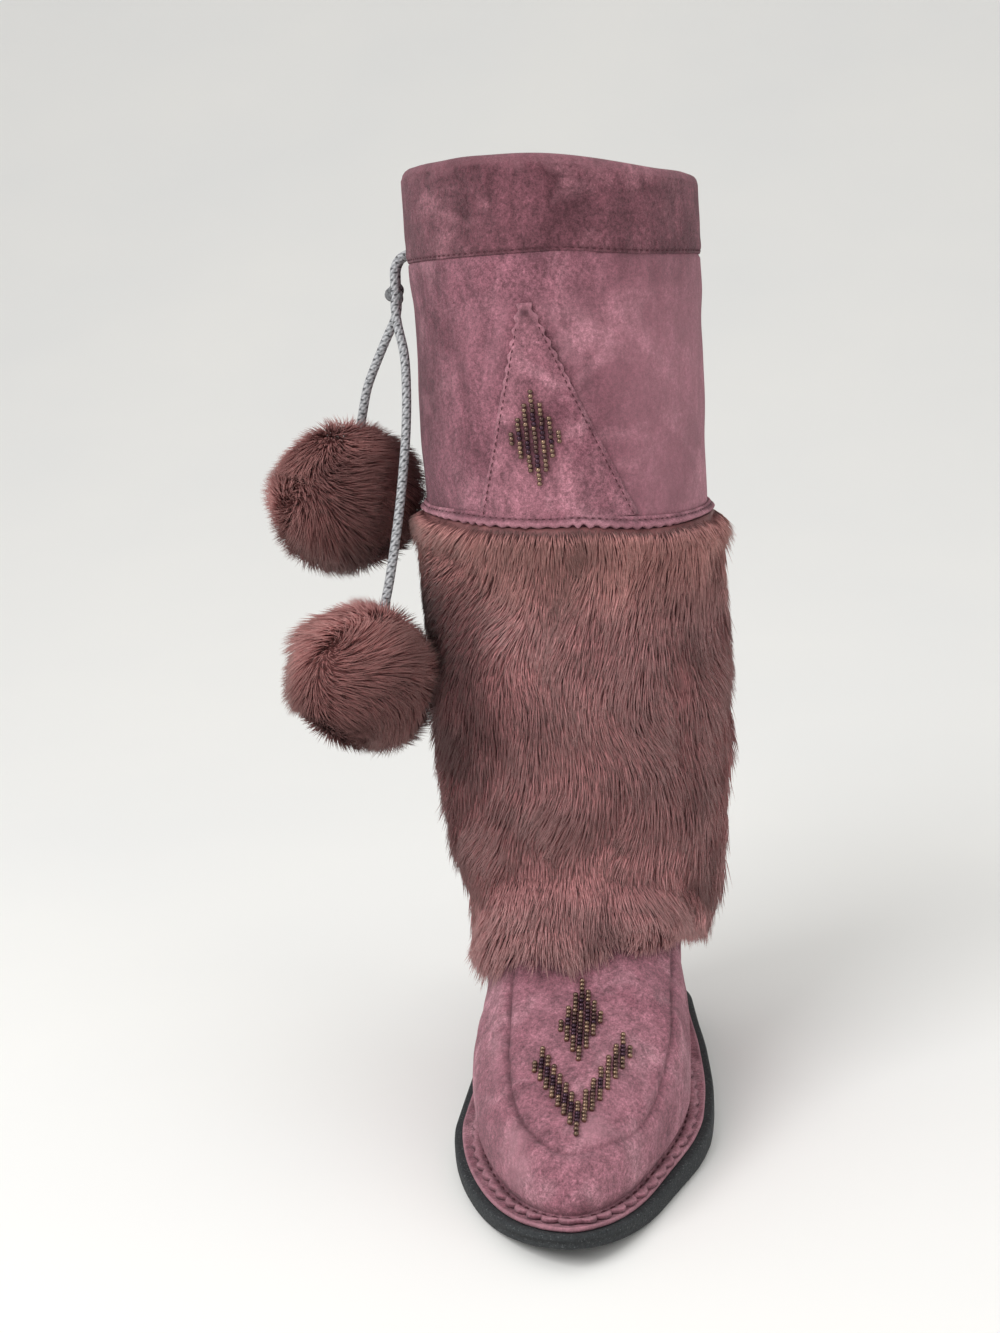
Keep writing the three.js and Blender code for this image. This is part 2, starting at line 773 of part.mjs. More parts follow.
const shaftBeads = { x: -6.5, up: 284, lean: 0.045 };
const footBeads = { pitch: 2.45, slope: 0.93, skew: 0.24, lean: 0.02, out: apronFace + 1.6 * seamGap };
const beadsOverFoot = (middleX, middleBehind) => (a, b, out) => {
  const x = middleX + a + b * footBeads.lean;
  const behind = middleBehind + b * footBeads.slope + a * footBeads.skew;
  return overFoot(x, behind, footBeads.out + out);
};
const beadwork = [
  {
    name: "beadwork_shaft",
    columns: diamond,
    pitch: columnPitch,
    steps: 1,
    surface: (a, b, out) => {
      const x = shaftBeads.x + a - shaftBeads.lean * b;
      return frontOfShaft(x, shaftBeads.up + b, gussetFace + seamGap + out);
    },
  },
  {
    name: "beadwork_diamond",
    columns: diamond,
    pitch: footBeads.pitch,
    steps: 2,
    surface: beadsOverFoot(1.6, 82.1),
  },
  {
    name: "beadwork_chevron",
    columns: chevron,
    pitch: footBeads.pitch,
    steps: 2,
    surface: beadsOverFoot(1.5, 31.3),
  },
];
beadwork.forEach(({ name, columns, pitch, steps, surface }) => {
  add(name, makeBeadwork(columns, pitch, steps, surface), "beads");
});

// Drawstring: two ends leave the slot side by side, meet in a knot and hang to a pompom each
// Each route is a table of places: x, y and z.
const cordRoutes = {
  cord_a_top: [
    [-60, 65.3, 359.3],
    [-62.4, 65.3, 359],
    [-65.2, 65.3, 357.2],
    [-67, 65.2, 353.8],
    [-67.4, 65.1, 350],
  ],
  cord_b_top: [
    [-60, 60.7, 359.3],
    [-62.4, 60.7, 359],
    [-65.2, 60.7, 357.2],
    [-67, 60.8, 353.8],
    [-67.4, 60.9, 350],
  ],
  cord_a: [
    [-68, 65.2, 337],
    [-69.8, 65.9, 332],
    [-73.8, 67, 325],
    [-79.2, 68.8, 315],
    [-84, 70, 304.8],
    [-87.2, 71.2, 293.7],
    [-89.8, 72.3, 283.5],
    [-91.6, 72.6, 276.5],
  ],
  cord_b: [
    [-68, 60.8, 337.2],
    [-67.2, 59.3, 330],
    [-64.8, 55.5, 318],
    [-64.3, 51, 303],
    [-65, 46.5, 287],
    [-66.5, 42, 272],
    [-68.4, 37.5, 257],
    [-70.8, 33, 242],
    [-73.6, 28.8, 227],
    [-76.4, 25.4, 215],
    [-78.6, 23.4, 206],
  ],
};
const routePoints = (name) => cordRoutes[name].map((row) => new THREE.Vector3(...row));

function makeCord(points) {
  const route = new THREE.CatmullRomCurve3(points, false, "centripetal");
  const section = new THREE.Shape();
  section.absarc(0, 0, cordDiameter / 2, 0, 2 * Math.PI, false);
  const steps = Math.max(6, Math.round(route.getLength() / (2.5 * cordDiameter)));
  const options = { steps, curveSegments: 4, extrudePath: route, bevelEnabled: false };
  return solidOf(new THREE.ExtrudeGeometry(section, options));
}

Object.keys(cordRoutes).forEach((name) => add(name, makeCord(routePoints(name)), "cord"));

const knotMiddle = [-68, 63, 343.6];
const knotStretch = [0.85, 1.05, 1];
const knotProfile = [
  { radius: 0, along: -5.9 },
  { radius: 4, along: -5.9 },
  { radius: 6.2, along: -4.2 },
  { radius: 6.5, along: -2.2 },
  { radius: 5.5, along: -0.3 },
  { radius: 6.5, along: 1.8 },
  { radius: 6.1, along: 4 },
  { radius: 3.8, along: 5.7 },
  { radius: 0, along: 5.7 },
];

function makeKnot() {
  const profile = knotProfile.map(({ radius, along }) => new THREE.Vector2(radius, along));
  const knot = new THREE.LatheGeometry(profile, 12);
  knot.rotateX(Math.PI / 2);
  knot.scale(...knotStretch);
  knot.translate(...knotMiddle);
  return solidOf(knot);
}

add("drawstring_knot", makeKnot(), "cord");

// Pompoms: balls of tufts, each with a bore for its cord
const poms = [
  { name: "pompom_a", centre: [-97.5, 72.5, 258], ballRadius: 30.5, cord: "cord_a" },
  { name: "pompom_b", centre: [-87.6, 19.2, 187.5], ballRadius: 27.8, cord: "cord_b" },
];
const tuftLength = 2.6;
const boreGap = 0.6;
const boreLength = 24;
const boreBelow = 0.6;

function makePom(centre, ballRadius, route) {
  const middle = new THREE.Vector3(...centre);
  const ball = mergeVertices(bareGeometry(new THREE.IcosahedronGeometry(ballRadius, 3)), 1e-3);
  const places = ball.attributes.position;
  for (let i = 0; i < places.count; i += 1) {
    const point = new THREE.Vector3().fromBufferAttribute(places, i);
    const reach = ballRadius + tuftLength * Math.sin(i * 2.4) * Math.sin(i * 0.7);
    point.setLength(reach).add(middle);
    places.setXYZ(i, point.x, point.y, point.z);
  }
  const end = route[route.length - 1];
  const along = route[route.length - 2].clone().sub(end).normalize();
  const radius = cordDiameter / 2 + boreGap;
  const bore = new THREE.CylinderGeometry(radius, radius, boreLength, 10);
  bore.applyQuaternion(new THREE.Quaternion().setFromUnitVectors(new THREE.Vector3(0, 1, 0), along));
  const boreMiddle = end.clone().addScaledVector(along, boreLength / 2 - boreBelow);
  bore.translate(boreMiddle.x, boreMiddle.y, boreMiddle.z);
  return solidOf(ball).subtract(solidOf(bore));
}

poms.forEach(({ name, centre, ballRadius, cord }) => {
  add(name, makePom(centre, ballRadius, routePoints(cord)), "pomFur");
});

export default boot;
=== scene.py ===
import math
import bpy
import numpy as np
from mathutils import Matrix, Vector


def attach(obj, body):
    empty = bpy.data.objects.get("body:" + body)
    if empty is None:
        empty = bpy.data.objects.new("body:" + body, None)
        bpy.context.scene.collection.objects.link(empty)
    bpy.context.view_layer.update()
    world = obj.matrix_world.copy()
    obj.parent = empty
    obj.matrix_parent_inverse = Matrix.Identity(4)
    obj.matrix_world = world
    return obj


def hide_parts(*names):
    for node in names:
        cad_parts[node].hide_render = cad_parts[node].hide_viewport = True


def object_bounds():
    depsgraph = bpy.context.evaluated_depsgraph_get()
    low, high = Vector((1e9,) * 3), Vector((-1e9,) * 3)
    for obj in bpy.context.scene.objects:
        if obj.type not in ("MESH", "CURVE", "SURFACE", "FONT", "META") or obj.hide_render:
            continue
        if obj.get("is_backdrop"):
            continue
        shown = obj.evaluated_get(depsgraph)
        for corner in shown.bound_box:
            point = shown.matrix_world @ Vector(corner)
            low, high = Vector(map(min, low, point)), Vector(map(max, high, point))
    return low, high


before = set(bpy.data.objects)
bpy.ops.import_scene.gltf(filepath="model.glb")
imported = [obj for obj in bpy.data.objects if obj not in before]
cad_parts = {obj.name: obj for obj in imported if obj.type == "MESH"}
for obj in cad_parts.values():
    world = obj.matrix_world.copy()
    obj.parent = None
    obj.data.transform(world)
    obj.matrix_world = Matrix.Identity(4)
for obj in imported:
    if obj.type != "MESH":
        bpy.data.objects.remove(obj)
cadBox = [list(corner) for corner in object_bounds()]

# shape of the boot, in mm: x is across, behind is measured back from the toe's end and up is height,
# so that y is behind less half of the length
boot = dict(
    length=268.0, toeSpring=9.0, toeSpringLength=48.0, archRise=3.5, stripThickness=1.8, gap=0.3,
    backLine=256.0, aimWidth=44.0, bentRise=0.2, footToe=13.5, footHeel=254.0, wallInside=2.2, bandStep=2.0,
    soleToeRound=105.0, soleToePower=1.55, soleHeelRound=42.0, soleHeelPower=2.15,
    toeRound=92.0, toePower=1.6, heelRound=36.0, topRound=24.0, footPower=2.35, shaftPower=2.12,
    widestShare=0.36, lowTaper=0.045, instepFillet=22.0, heelFillet=9.0,
    # behind, outer half width, inner half width
    sole=[(0, 54, 42), (55, 55, 44.5), (90, 54, 49), (130, 52.5, 51), (165, 50.5, 49), (200, 47.5, 45),
          (235, 44, 41.5), (268, 40, 38)],
    # behind, thickness of the sole
    thickness=[(0, 5.8), (60, 8.5), (130, 12), (190, 16), (268, 17)],
    # behind, outer half width, inner half width, height of the foot's top
    foot=[(13, 43, 32.5, 33), (35, 43.2, 34.8, 39), (60, 43.6, 37.2, 49), (90, 42.8, 40, 65),
          (115, 41, 40.8, 82), (140, 38.5, 38.8, 98), (165, 36.5, 35.5, 100), (200, 34.5, 32, 84),
          (258, 34, 31.5, 52)],
    # up, front, back, half width
    shaft=[(10, 178, 253, 30.5), (35, 168, 255.5, 33.5), (60, 158, 255, 36), (90, 147, 252, 44),
           (115, 138, 250, 50), (145, 134, 251, 54), (180, 132, 254, 56), (220, 132, 257, 58),
           (250, 132, 258.5, 59.2), (300, 133, 259.5, 59.8), (354, 134, 260, 59.2), (420, 134, 260, 58.8)],
    # ring number, its front, its height at the front and at the back
    rings=[(0, 13.5, 20.4, 19.4), (0.06, 16, 28.5, 25), (0.12, 30, 37, 31), (0.2, 60, 49, 37),
           (0.3, 93, 67, 45), (0.38, 119, 85, 55), (0.44, 133, 103, 68), (0.52, 133, 128, 97),
           (0.62, 132, 170, 150), (0.76, 132, 232, 230), (0.8, 132, 250, 250), (0.9, 133, 320, 320),
           (1, 134, 395, 395)],
)
midLength = boot["length"] / 2


# 0 before start, 1 after end, and an S curve between them
def smooth(value, start, end):
    share = np.clip((value - start) / (end - start), 0, 1)
    return share * share * (3 - 2 * share)


# a smooth curve through the rows of a table, with no swing past its values: each stretch is a
# cubic, and the slope at a row is the harmonic mean of the slopes beside it
def through(rows, column, at):
    rows = np.asarray(rows, float)
    place, value = rows[:, 0], rows[:, column]
    slope = np.diff(value) / np.diff(place)
    before, after = np.r_[slope[0], slope], np.r_[slope, slope[-1]]
    same = before * after > 0
    tangent = np.where(same, 2 * before * after / np.where(same, before + after, 1), 0)
    held = np.clip(at, place[0], place[-1])
    row = np.clip(np.searchsorted(place, held) - 1, 0, len(place) - 2)
    width = place[row + 1] - place[row]
    t = (held - place[row]) / width
    rest = 1 - t
    return (value[row] * (1 + 2 * t) * rest * rest + value[row + 1] * t * t * (3 - 2 * t)
            + tangent[row] * width * t * rest * rest - tangent[row + 1] * width * t * t * rest)


# how full a rounded end is at a distance in from its tip: (1 - (1 - d / length)^p)^(1 / p)
def roundedEnd(inFrom, length, power=2.0):
    left = np.clip(1 - inFrom / length, 0, 1)
    return np.maximum(0.004, (1 - left ** power) ** (1 / power))


# the sole's underside rises to the toe as the square of the share of the toe spring's length
def soleUnder(behind):
    return boot["toeSpring"] * np.maximum(0, 1 - behind / boot["toeSpringLength"]) ** 2


def soleTop(behind):
    return soleUnder(behind) + through(boot["thickness"], 1, behind)


def featherUp(behind):
    return soleTop(behind) + boot["stripThickness"] + 2 * boot["gap"]


# distance outside the foot: a superellipse across and above the widest level, whose half width and
# height shrink to nothing at the toe and heel
def footGap(x, behind, up):
    held = np.clip(behind, boot["footToe"] + 0.001, boot["footHeel"] - 0.001)
    full = roundedEnd(held - boot["footToe"], boot["toeRound"], boot["toePower"])
    full = full * roundedEnd(boot["footHeel"] - held, boot["heelRound"])
    side = np.where(x > 0, through(boot["foot"], 2, held), through(boot["foot"], 1, held))
    feather = featherUp(held)
    height = through(boot["foot"], 3, held) - feather
    height = height * roundedEnd(held - boot["footToe"], boot["topRound"])
    lowPart = boot["widestShare"] * height
    highPart = (1 - boot["widestShare"]) * height
    widest = feather + lowPart
    below = np.clip((widest - up) / lowPart, 0, 1.5)
    half = side * full * (1 - boot["lowTaper"] * below * below)
    above = np.maximum(0, up - widest) / highPart
    power = boot["footPower"]
    reach = ((np.abs(x) / half) ** power + above ** power) ** (1 / power)
    outside = (behind <= boot["footToe"]) | (behind >= boot["footHeel"])
    return np.where(outside, 40, (reach - 1) * np.minimum(half, highPart))


# distance outside the shaft: a superellipse at each height
def shaftGap(x, behind, up):
    front, back, half = (through(boot["shaft"], column, up) for column in (1, 2, 3))
    deep = (back - front) / 2
    along = np.abs(behind - (front + back) / 2) / deep
    power = boot["shaftPower"]
    reach = ((np.abs(x) / half) ** power + along ** power) ** (1 / power)
    return (reach - 1) * np.minimum(half, deep)


# foot and shaft joined by a fillet, wide at the instep and narrow at the heel: the smaller distance,
# less a quarter of the fillet times the square of how near the two are
def bootGap(x, behind, up):
    foot, shaft = footGap(x, behind, up), shaftGap(x, behind, up)
    blend = boot["instepFillet"] - (boot["instepFillet"] - boot["heelFillet"]) * smooth(behind, 165, 225)
    near = np.maximum(0, blend - np.abs(foot - shaft)) / blend
    return np.minimum(foot, shaft) - near * near * blend / 4


# the way out of the boot: the slope of the distance over 1 mm each way, made 1 long
def outward(points):
    x, behind, up = points[..., 0], points[..., 1] + midLength, points[..., 2]
    slope = np.stack([bootGap(x + 0.5, behind, up) - bootGap(x - 0.5, behind, up),
                      bootGap(x, behind + 0.5, up) - bootGap(x, behind - 0.5, up),
                      bootGap(x, behind, up + 0.5) - bootGap(x, behind, up - 0.5)], -1)
    return slope / np.maximum(1e-9, np.linalg.norm(slope, axis=-1, keepdims=True))


# height of ring number rise where it passes over a place: level in the shaft, aslant over the foot
def sheetUp(rise, behind):
    rings = boot["rings"]
    front = through(rings, 1, rise)
    share = (behind - front) / (boot["backLine"] - front)
    low = rings[0][2] + (rings[0][3] - rings[0][2]) * (behind - boot["footToe"]) / (
        boot["backLine"] - boot["footToe"])
    level = through(rings, 2, rise) * (1 - share) + through(rings, 3, rise) * share
    return level + (1 - smooth(rise, 0, boot["bentRise"])) * (featherUp(behind) - low)


halvings = 26


# the place between near and far where a test turns from true to false, found by halving
def edgeBetween(near, far, inside):
    for step in range(halvings):
        middle = (near + far) / 2
        held = inside(middle)
        near, far = np.where(held, middle, near), np.where(held, far, middle)
    return near


# the boot's skin: on ring rise, the point in direction turn (0 heel, 0.25 inner, 0.5 toe, 0.75 outer)
# where the distance outside the boot is 0, then moved out along the normal
def onBoot(turn, rise, out=0.0):
    turn, rise, out = np.broadcast_arrays(np.asarray(turn, float), rise, out)
    front = through(boot["rings"], 1, rise)
    centre = (front + boot["backLine"]) / 2
    aimX = boot["aimWidth"] * np.sin(turn * 2 * np.pi)
    aimY = (boot["backLine"] - centre) * np.cos(turn * 2 * np.pi)
    size = np.hypot(aimX, aimY)
    aimX, aimY = aimX / size, aimY / size

    def inside(far):
        behind = centre + far * aimY
        return bootGap(far * aimX, behind, sheetUp(rise, behind)) < 0

    far = edgeBetween(np.zeros(turn.shape), np.full(turn.shape, 160.0), inside)
    behind = centre + far * aimY
    points = np.stack([far * aimX, behind - midLength, sheetUp(rise, behind)], -1)
    return points + outward(points) * out[..., None]


# the skin over the foot above a place: the height where the distance outside the boot is 0
def overFoot(x, behind, out=0.0):
    x, behind, out = np.broadcast_arrays(np.asarray(x, float), behind, out)
    up = edgeBetween(featherUp(behind), np.full(x.shape, 140.0), lambda up: bootGap(x, behind, up) < 0)
    points = np.stack([x, behind - midLength, up], -1)
    return points + outward(points) * out[..., None]


# the skin of the shaft's front at a height, found from the shaft's middle forward
def frontOfShaft(x, up, out=0.0):
    x, up, out = np.broadcast_arrays(np.asarray(x, float), up, out)
    behind = edgeBetween(np.full(x.shape, 197.0), np.full(x.shape, 60.0),
                         lambda behind: bootGap(x, behind, up) < 0)
    points = np.stack([x, behind - midLength, up], -1)
    return points + outward(points) * out[..., None]


# ring number of a height in the shaft, read off the table of rings
riseOfUp = np.linspace(0.76, 1, 400)
upOfRise = through(boot["rings"], 2, riseOfUp)


def riseAt(up):
    return np.interp(up, upOfRise, riseOfUp)


# the band round the foot stands out by its step, and fades into the shaft above it
def bandOut(rise):
    return boot["bandStep"] * smooth(rise, 0, 0.05) * (1 - smooth(rise, 0.42, 0.52))


# the skin's lowest ring moved out level by out, at a height over the feather line
def levelOut(turn, out, up):
    turn, out, up = np.broadcast_arrays(np.asarray(turn, float), out, up)
    points = onBoot(turn, 0.0)
    away = outward(points)
    away[..., 2] = 0
    away /= np.linalg.norm(away, axis=-1, keepdims=True)
    points = points + away * out[..., None]
    points[..., 2] = featherUp(points[..., 1] + midLength) + up
    return points


# the sole's edge seen from above, drawn in by inset
def soleEdge(turn, inset):
    turn, inset = np.broadcast_arrays(np.asarray(turn, float), inset)
    half = midLength - inset
    behind = midLength + half * np.cos(turn * 2 * np.pi)
    full = roundedEnd(behind - inset, boot["soleToeRound"] - inset, boot["soleToePower"])
    full = full * roundedEnd(boot["length"] - inset - behind, boot["soleHeelRound"] - inset,
                             boot["soleHeelPower"])
    inner = np.sin(turn * 2 * np.pi) > 0
    side = np.where(inner, through(boot["sole"], 2, behind), through(boot["sole"], 1, behind)) - inset
    return np.where(inner, 1, -1) * side * full, behind


# the collar is highest left of the front's middle and drops to both sides
def collarAt(turn):
    side = np.sin(turn * 2 * np.pi) + 0.35
    inner = 10 * (np.maximum(side, 0) / 1.35) ** 1.8
    return 391 - np.where(side > 0, inner, 0.5 * (side / 0.65) ** 2)


# the seam of shaft and fur dips in the middle of the front and on the inner side
def seamAt(turn):
    return (253.4 - 5 * np.maximum(0, -np.cos(turn * 2 * np.pi)) ** 2
            - 7.2 * smooth(np.sin(turn * 2 * np.pi), 0.1, 0.95))


# wandering field between about -1 and 1: a mean of sine waves in seeded directions
def wander(points, size, seed, waves=9):
    dice = np.random.default_rng(seed)
    ways = dice.normal(size=(waves, 3))
    ways /= np.linalg.norm(ways, axis=1, keepdims=True)
    pitch = size * dice.uniform(0.6, 1.6, waves)
    shift = dice.uniform(0, 2 * np.pi, waves)
    flat = points.reshape(-1, 3)
    total = np.zeros(len(flat))
    for way, length, start in zip(ways, pitch, shift):
        total += np.sin(flat @ way * (2 * np.pi / length) + start)
    return (total / math.sqrt(waves)).reshape(points.shape[:-1])


print("shape functions ready")


# meshes and materials
# quads of a grid of points whose first index is the row
def gridFaces(rows, columns, closedRows=False, closedColumns=False):
    r = np.arange(rows if closedRows else rows - 1)[:, None]
    c = np.arange(columns if closedColumns else columns - 1)[None, :]
    r2, c2 = (r + 1) % rows, (c + 1) % columns
    return np.stack(np.broadcast_arrays(r * columns + c, r * columns + c2, r2 * columns + c2,
                                        r2 * columns + c), -1).reshape(-1, 4)


# puts whole arrays into a mesh object: points in mm, faces as arrays of quads and triangles
def makePiece(name, points, faces, material, stands=(), fields=None, colours=None, uv=None,
              uvName="seam", flip=False, smoothFaces=True):
    points = np.asarray(points, float).reshape(-1, 3)
    faces = faces if isinstance(faces, list) else [faces]
    if flip:
        faces = [face[:, ::-1] for face in faces]
    corners = np.concatenate([face.ravel() for face in faces]).astype(np.int32)
    sizes = np.concatenate([np.full(len(face), face.shape[1]) for face in faces])
    starts = np.r_[0, np.cumsum(sizes)[:-1]].astype(np.int32)
    mesh = bpy.data.meshes.new(name)
    mesh.vertices.add(len(points))
    mesh.vertices.foreach_set("co", (points / 1000).astype(np.float32).ravel())
    mesh.loops.add(len(corners))
    mesh.loops.foreach_set("vertex_index", corners)
    mesh.polygons.add(len(starts))
    mesh.polygons.foreach_set("loop_start", starts)
    mesh.polygons.foreach_set("use_smooth", np.full(len(starts), smoothFaces))
    mesh.update(calc_edges=True)
    for key, values in (fields or {}).items():
        field = mesh.attributes.new(key, "FLOAT", "POINT")
        field.data.foreach_set("value", np.asarray(values, np.float32).ravel())
    for key, values in (colours or {}).items():
        rgba = np.ones((len(points), 4), np.float32)
        rgba[:, :3] = np.asarray(values).reshape(-1, 3)
        mesh.attributes.new(key, "FLOAT_COLOR", "POINT").data.foreach_set("color", rgba.ravel())
    if uv is not None:
        mesh.uv_layers.new(name=uvName).data.foreach_set("uv", np.asarray(uv, np.float32).ravel())
    mesh.materials.append(material)
    piece = bpy.data.objects.new(name, mesh)
    bpy.context.collection.objects.link(piece)
    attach(piece, "root")
    for node in stands:
        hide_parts(node)
    print("made", name, len(starts), "faces")
    return piece


# how far a closed surface encloses space: negative means that it is inside out
def enclosed(points, faces):
    flat = np.asarray(points, float).reshape(-1, 3)
    a, b, c, d = (flat[faces[:, corner]] for corner in range(4))
    return (np.einsum("ij,ij->i", a, np.cross(b, c)) + np.einsum("ij,ij->i", a, np.cross(c, d))).sum()


# short forms for the nodes that the materials use
def addNode(tree, kind, inputs=None, **settings):
    node = tree.nodes.new(kind)
    for key, value in settings.items():
        setattr(node, key, value)
    for key, value in (inputs or {}).items():
        if isinstance(value, bpy.types.NodeSocket):
            tree.links.new(value, node.inputs[key])
        else:
            node.inputs[key].default_value = value
    return node


# a material with its shader's plain values set, and the object's own coordinates
def newMaterial(name, **surface):
    material = bpy.data.materials.new(name)
    material.use_nodes = True
    tree = material.node_tree
    shader = tree.nodes["Principled BSDF"]
    for key, value in surface.items():
        shader.inputs[key].default_value = value
    place = addNode(tree, "ShaderNodeTexCoord").outputs["Object"]
    return material, tree, shader, place


def noiseOf(tree, place, scale, detail=3.0, roughness=0.55, distortion=0.0):
    return addNode(tree, "ShaderNodeTexNoise", {"Vector": place, "Scale": scale, "Detail": detail,
                                                "Roughness": roughness, "Distortion": distortion}
                   ).outputs["Fac"]


def mixColour(tree, share, first, second, blend="MIX"):
    node = addNode(tree, "ShaderNodeMix", data_type="RGBA", blend_type=blend)
    for socket, value in ((node.inputs[0], share), (node.inputs[6], first), (node.inputs[7], second)):
        if isinstance(value, bpy.types.NodeSocket):
            tree.links.new(value, socket)
        else:
            socket.default_value = value
    return node.outputs[2]


def rampOf(tree, value, low, high):
    return addNode(tree, "ShaderNodeMapRange", {"Value": value, "From Min": low, "From Max": high},
                   clamp=True).outputs["Result"]


def fieldOf(tree, name):
    return addNode(tree, "ShaderNodeAttribute", attribute_name=name).outputs["Fac"]


def colourOf(tree, name):
    return addNode(tree, "ShaderNodeAttribute", attribute_name=name).outputs["Color"]


def bumpOf(tree, height, distance, strength, normal=None):
    inputs = {"Height": height, "Distance": distance, "Strength": strength}
    if normal is not None:
        inputs["Normal"] = normal
    return addNode(tree, "ShaderNodeBump", inputs).outputs["Normal"]


# a mix of two colours by a share, as a material's base colour
def mottle(tree, shader, share, first, second):
    tree.links.new(mixColour(tree, share, first, second), shader.inputs["Base Color"])


# brushed suede: clouds where the nap lies the other way run from dark to body and on to pale, and
# strokes, grain and fibre each brighten or darken that by up to their share; two fields of the piece
# end it: one paler, partly wear and partly painted light and highlight, and one darker, painted shade
suedes = dict(
    foot=dict(body=(0.36, 0.15, 0.192, 1), dark=(0.25, 0.092, 0.124, 1),
              pale=(0.46, 0.225, 0.27, 1), patch=24),
    shaft=dict(body=(0.275, 0.108, 0.142, 1), dark=(0.15, 0.05, 0.07, 1),
               pale=(0.43, 0.195, 0.24, 1), patch=17),
    gusset=dict(body=(0.36, 0.15, 0.19, 1), dark=(0.21, 0.077, 0.104, 1),
                pale=(0.44, 0.205, 0.25, 1), patch=22),
    cuff=dict(body=(0.185, 0.067, 0.088, 1), dark=(0.1, 0.032, 0.044, 1),
              pale=(0.3, 0.128, 0.157, 1), patch=20),
)


wearLightAndShade = dict(share=0.75, paler=1.15, paintedShadeDarker=0.42)


def makeSuede(name, look):
    material, tree, shader, place = newMaterial(
        name, **{"Roughness": 0.94, "Specular IOR Level": 0.25, "Sheen Weight": 0.14,
                 "Sheen Roughness": 0.55, "Sheen Tint": (1.0, 0.82, 0.86, 1)})
    clouds = rampOf(tree, noiseOf(tree, place, look["patch"], 4, 0.6, 0.9), 0.38, 0.56)
    blotch = rampOf(tree, noiseOf(tree, place, look["patch"] * 1.6, 5, 0.62, 0.7), 0.5, 0.68)
    brushed = addNode(tree, "ShaderNodeMapping", {"Vector": place, "Scale": (1, 1, 0.5),
                                                  "Rotation": (0.3, 0.5, 0.2)}).outputs["Vector"]
    strokes = rampOf(tree, noiseOf(tree, brushed, 150, 6, 0.7, 0.3), 0.36, 0.64)
    grain = rampOf(tree, noiseOf(tree, place, 640, 5, 0.78), 0.36, 0.66)
    fibre = rampOf(tree, noiseOf(tree, place, 1700, 3, 0.7), 0.34, 0.66)
    colour = mixColour(tree, clouds, look["dark"], look["body"])
    colour = mixColour(tree, blotch, colour, look["pale"])
    colour = mixColour(tree, 0.3, colour, strokes, "OVERLAY")
    colour = mixColour(tree, 0.42, colour, grain, "OVERLAY")
    colour = mixColour(tree, 0.3, colour, fibre, "OVERLAY")
    wornAndLit = addNode(tree, "ShaderNodeMath", {0: fieldOf(tree, "wornAndLit"), 1: wearLightAndShade["share"]},
                   operation="MULTIPLY")
    wornAndLitPale = [wearLightAndShade["paler"] * c for c in look["pale"][:3]] + [1]
    paintedShadeDark = [wearLightAndShade["paintedShadeDarker"] * c for c in look["dark"][:3]] + [1]
    # paler by the first field: wear, and painted light and highlight
    colour = mixColour(tree, wornAndLit.outputs[0], colour, wornAndLitPale)
    # darker by the shade field: painted shade in creases, grooves and on the side away from the light
    colour = mixColour(tree, fieldOf(tree, "shade"), colour, paintedShadeDark)
    tree.links.new(colour, shader.inputs["Base Color"])
    normal = bumpOf(tree, strokes, 0.0008, 0.45)
    normal = bumpOf(tree, grain, 0.0008, 0.6, normal)
    tree.links.new(normal, shader.inputs["Normal"])
    return material


footSuede, shaftSuede, gussetSuede, cuffSuede = (
    makeSuede(part + "Suede", suedes[part]) for part in ("foot", "shaft", "gusset", "cuff"))

# hair: colour painted along each strand, with painted shade in it on parts of the fur and pompoms, varied a
# little by a fine noise
furHair, hairTree, hairShader, hairPlace = newMaterial(
    "furHair", **{"Roughness": 0.62, "Specular IOR Level": 0.3, "Sheen Weight": 0.12,
                  "Sheen Roughness": 0.4, "Sheen Tint": (1.0, 0.85, 0.8, 1)})
hairNoise = rampOf(hairTree, noiseOf(hairTree, hairPlace, 700, 2), 0.3, 0.7)
hairColour = colourOf(hairTree, "hairColour")
hairDark = mixColour(hairTree, 0.3, hairColour, (0.1, 0.035, 0.035, 1))
mottle(hairTree, hairShader, hairNoise, hairDark, hairColour)

# braided cord: colours of the braid's strands painted on, darkened in the grooves as painted shade, with a
# fine twist in the bump
braid, braidTree, braidShader, braidPlace = newMaterial(
    "braidedCord", **{"Roughness": 0.55, "Specular IOR Level": 0.4, "Sheen Weight": 0.1})
braidNoise = rampOf(braidTree, noiseOf(braidTree, braidPlace, 2600, 2), 0.3, 0.7)
yarnAndShadeColour = colourOf(braidTree, "yarnAndGrooveShade")
yarnDark = mixColour(braidTree, 0.25, yarnAndShadeColour, (0.12, 0.12, 0.13, 1))
mottle(braidTree, braidShader, braidNoise, yarnDark, yarnAndShadeColour)
braidTree.links.new(bumpOf(braidTree, braidNoise, 0.0002, 0.4), braidShader.inputs["Normal"])

# thread: dark wine, slightly fuzzy
thread, threadTree, threadShader, threadPlace = newMaterial(
    "stitchThread", **{"Roughness": 0.75, "Specular IOR Level": 0.3})
threadNoise = rampOf(threadTree, noiseOf(threadTree, threadPlace, 1800, 2), 0.3, 0.7)
mottle(threadTree, threadShader, threadNoise, (0.045, 0.012, 0.018, 1), (0.1, 0.03, 0.042, 1))

# iris glass beads: bronze, gold and plum painted by the bead
beadGlass, beadTree, beadShader, beadPlace = newMaterial(
    "irisBeads", **{"Roughness": 0.2, "Metallic": 0.8, "Specular IOR Level": 0.8})
beadNoise = rampOf(beadTree, noiseOf(beadTree, beadPlace, 900, 2), 0.3, 0.7)
glazeColour = colourOf(beadTree, "glaze")
glazeDark = mixColour(beadTree, 0.5, glazeColour, (0.05, 0.02, 0.05, 1))
mottle(beadTree, beadShader, beadNoise, glazeDark, glazeColour)

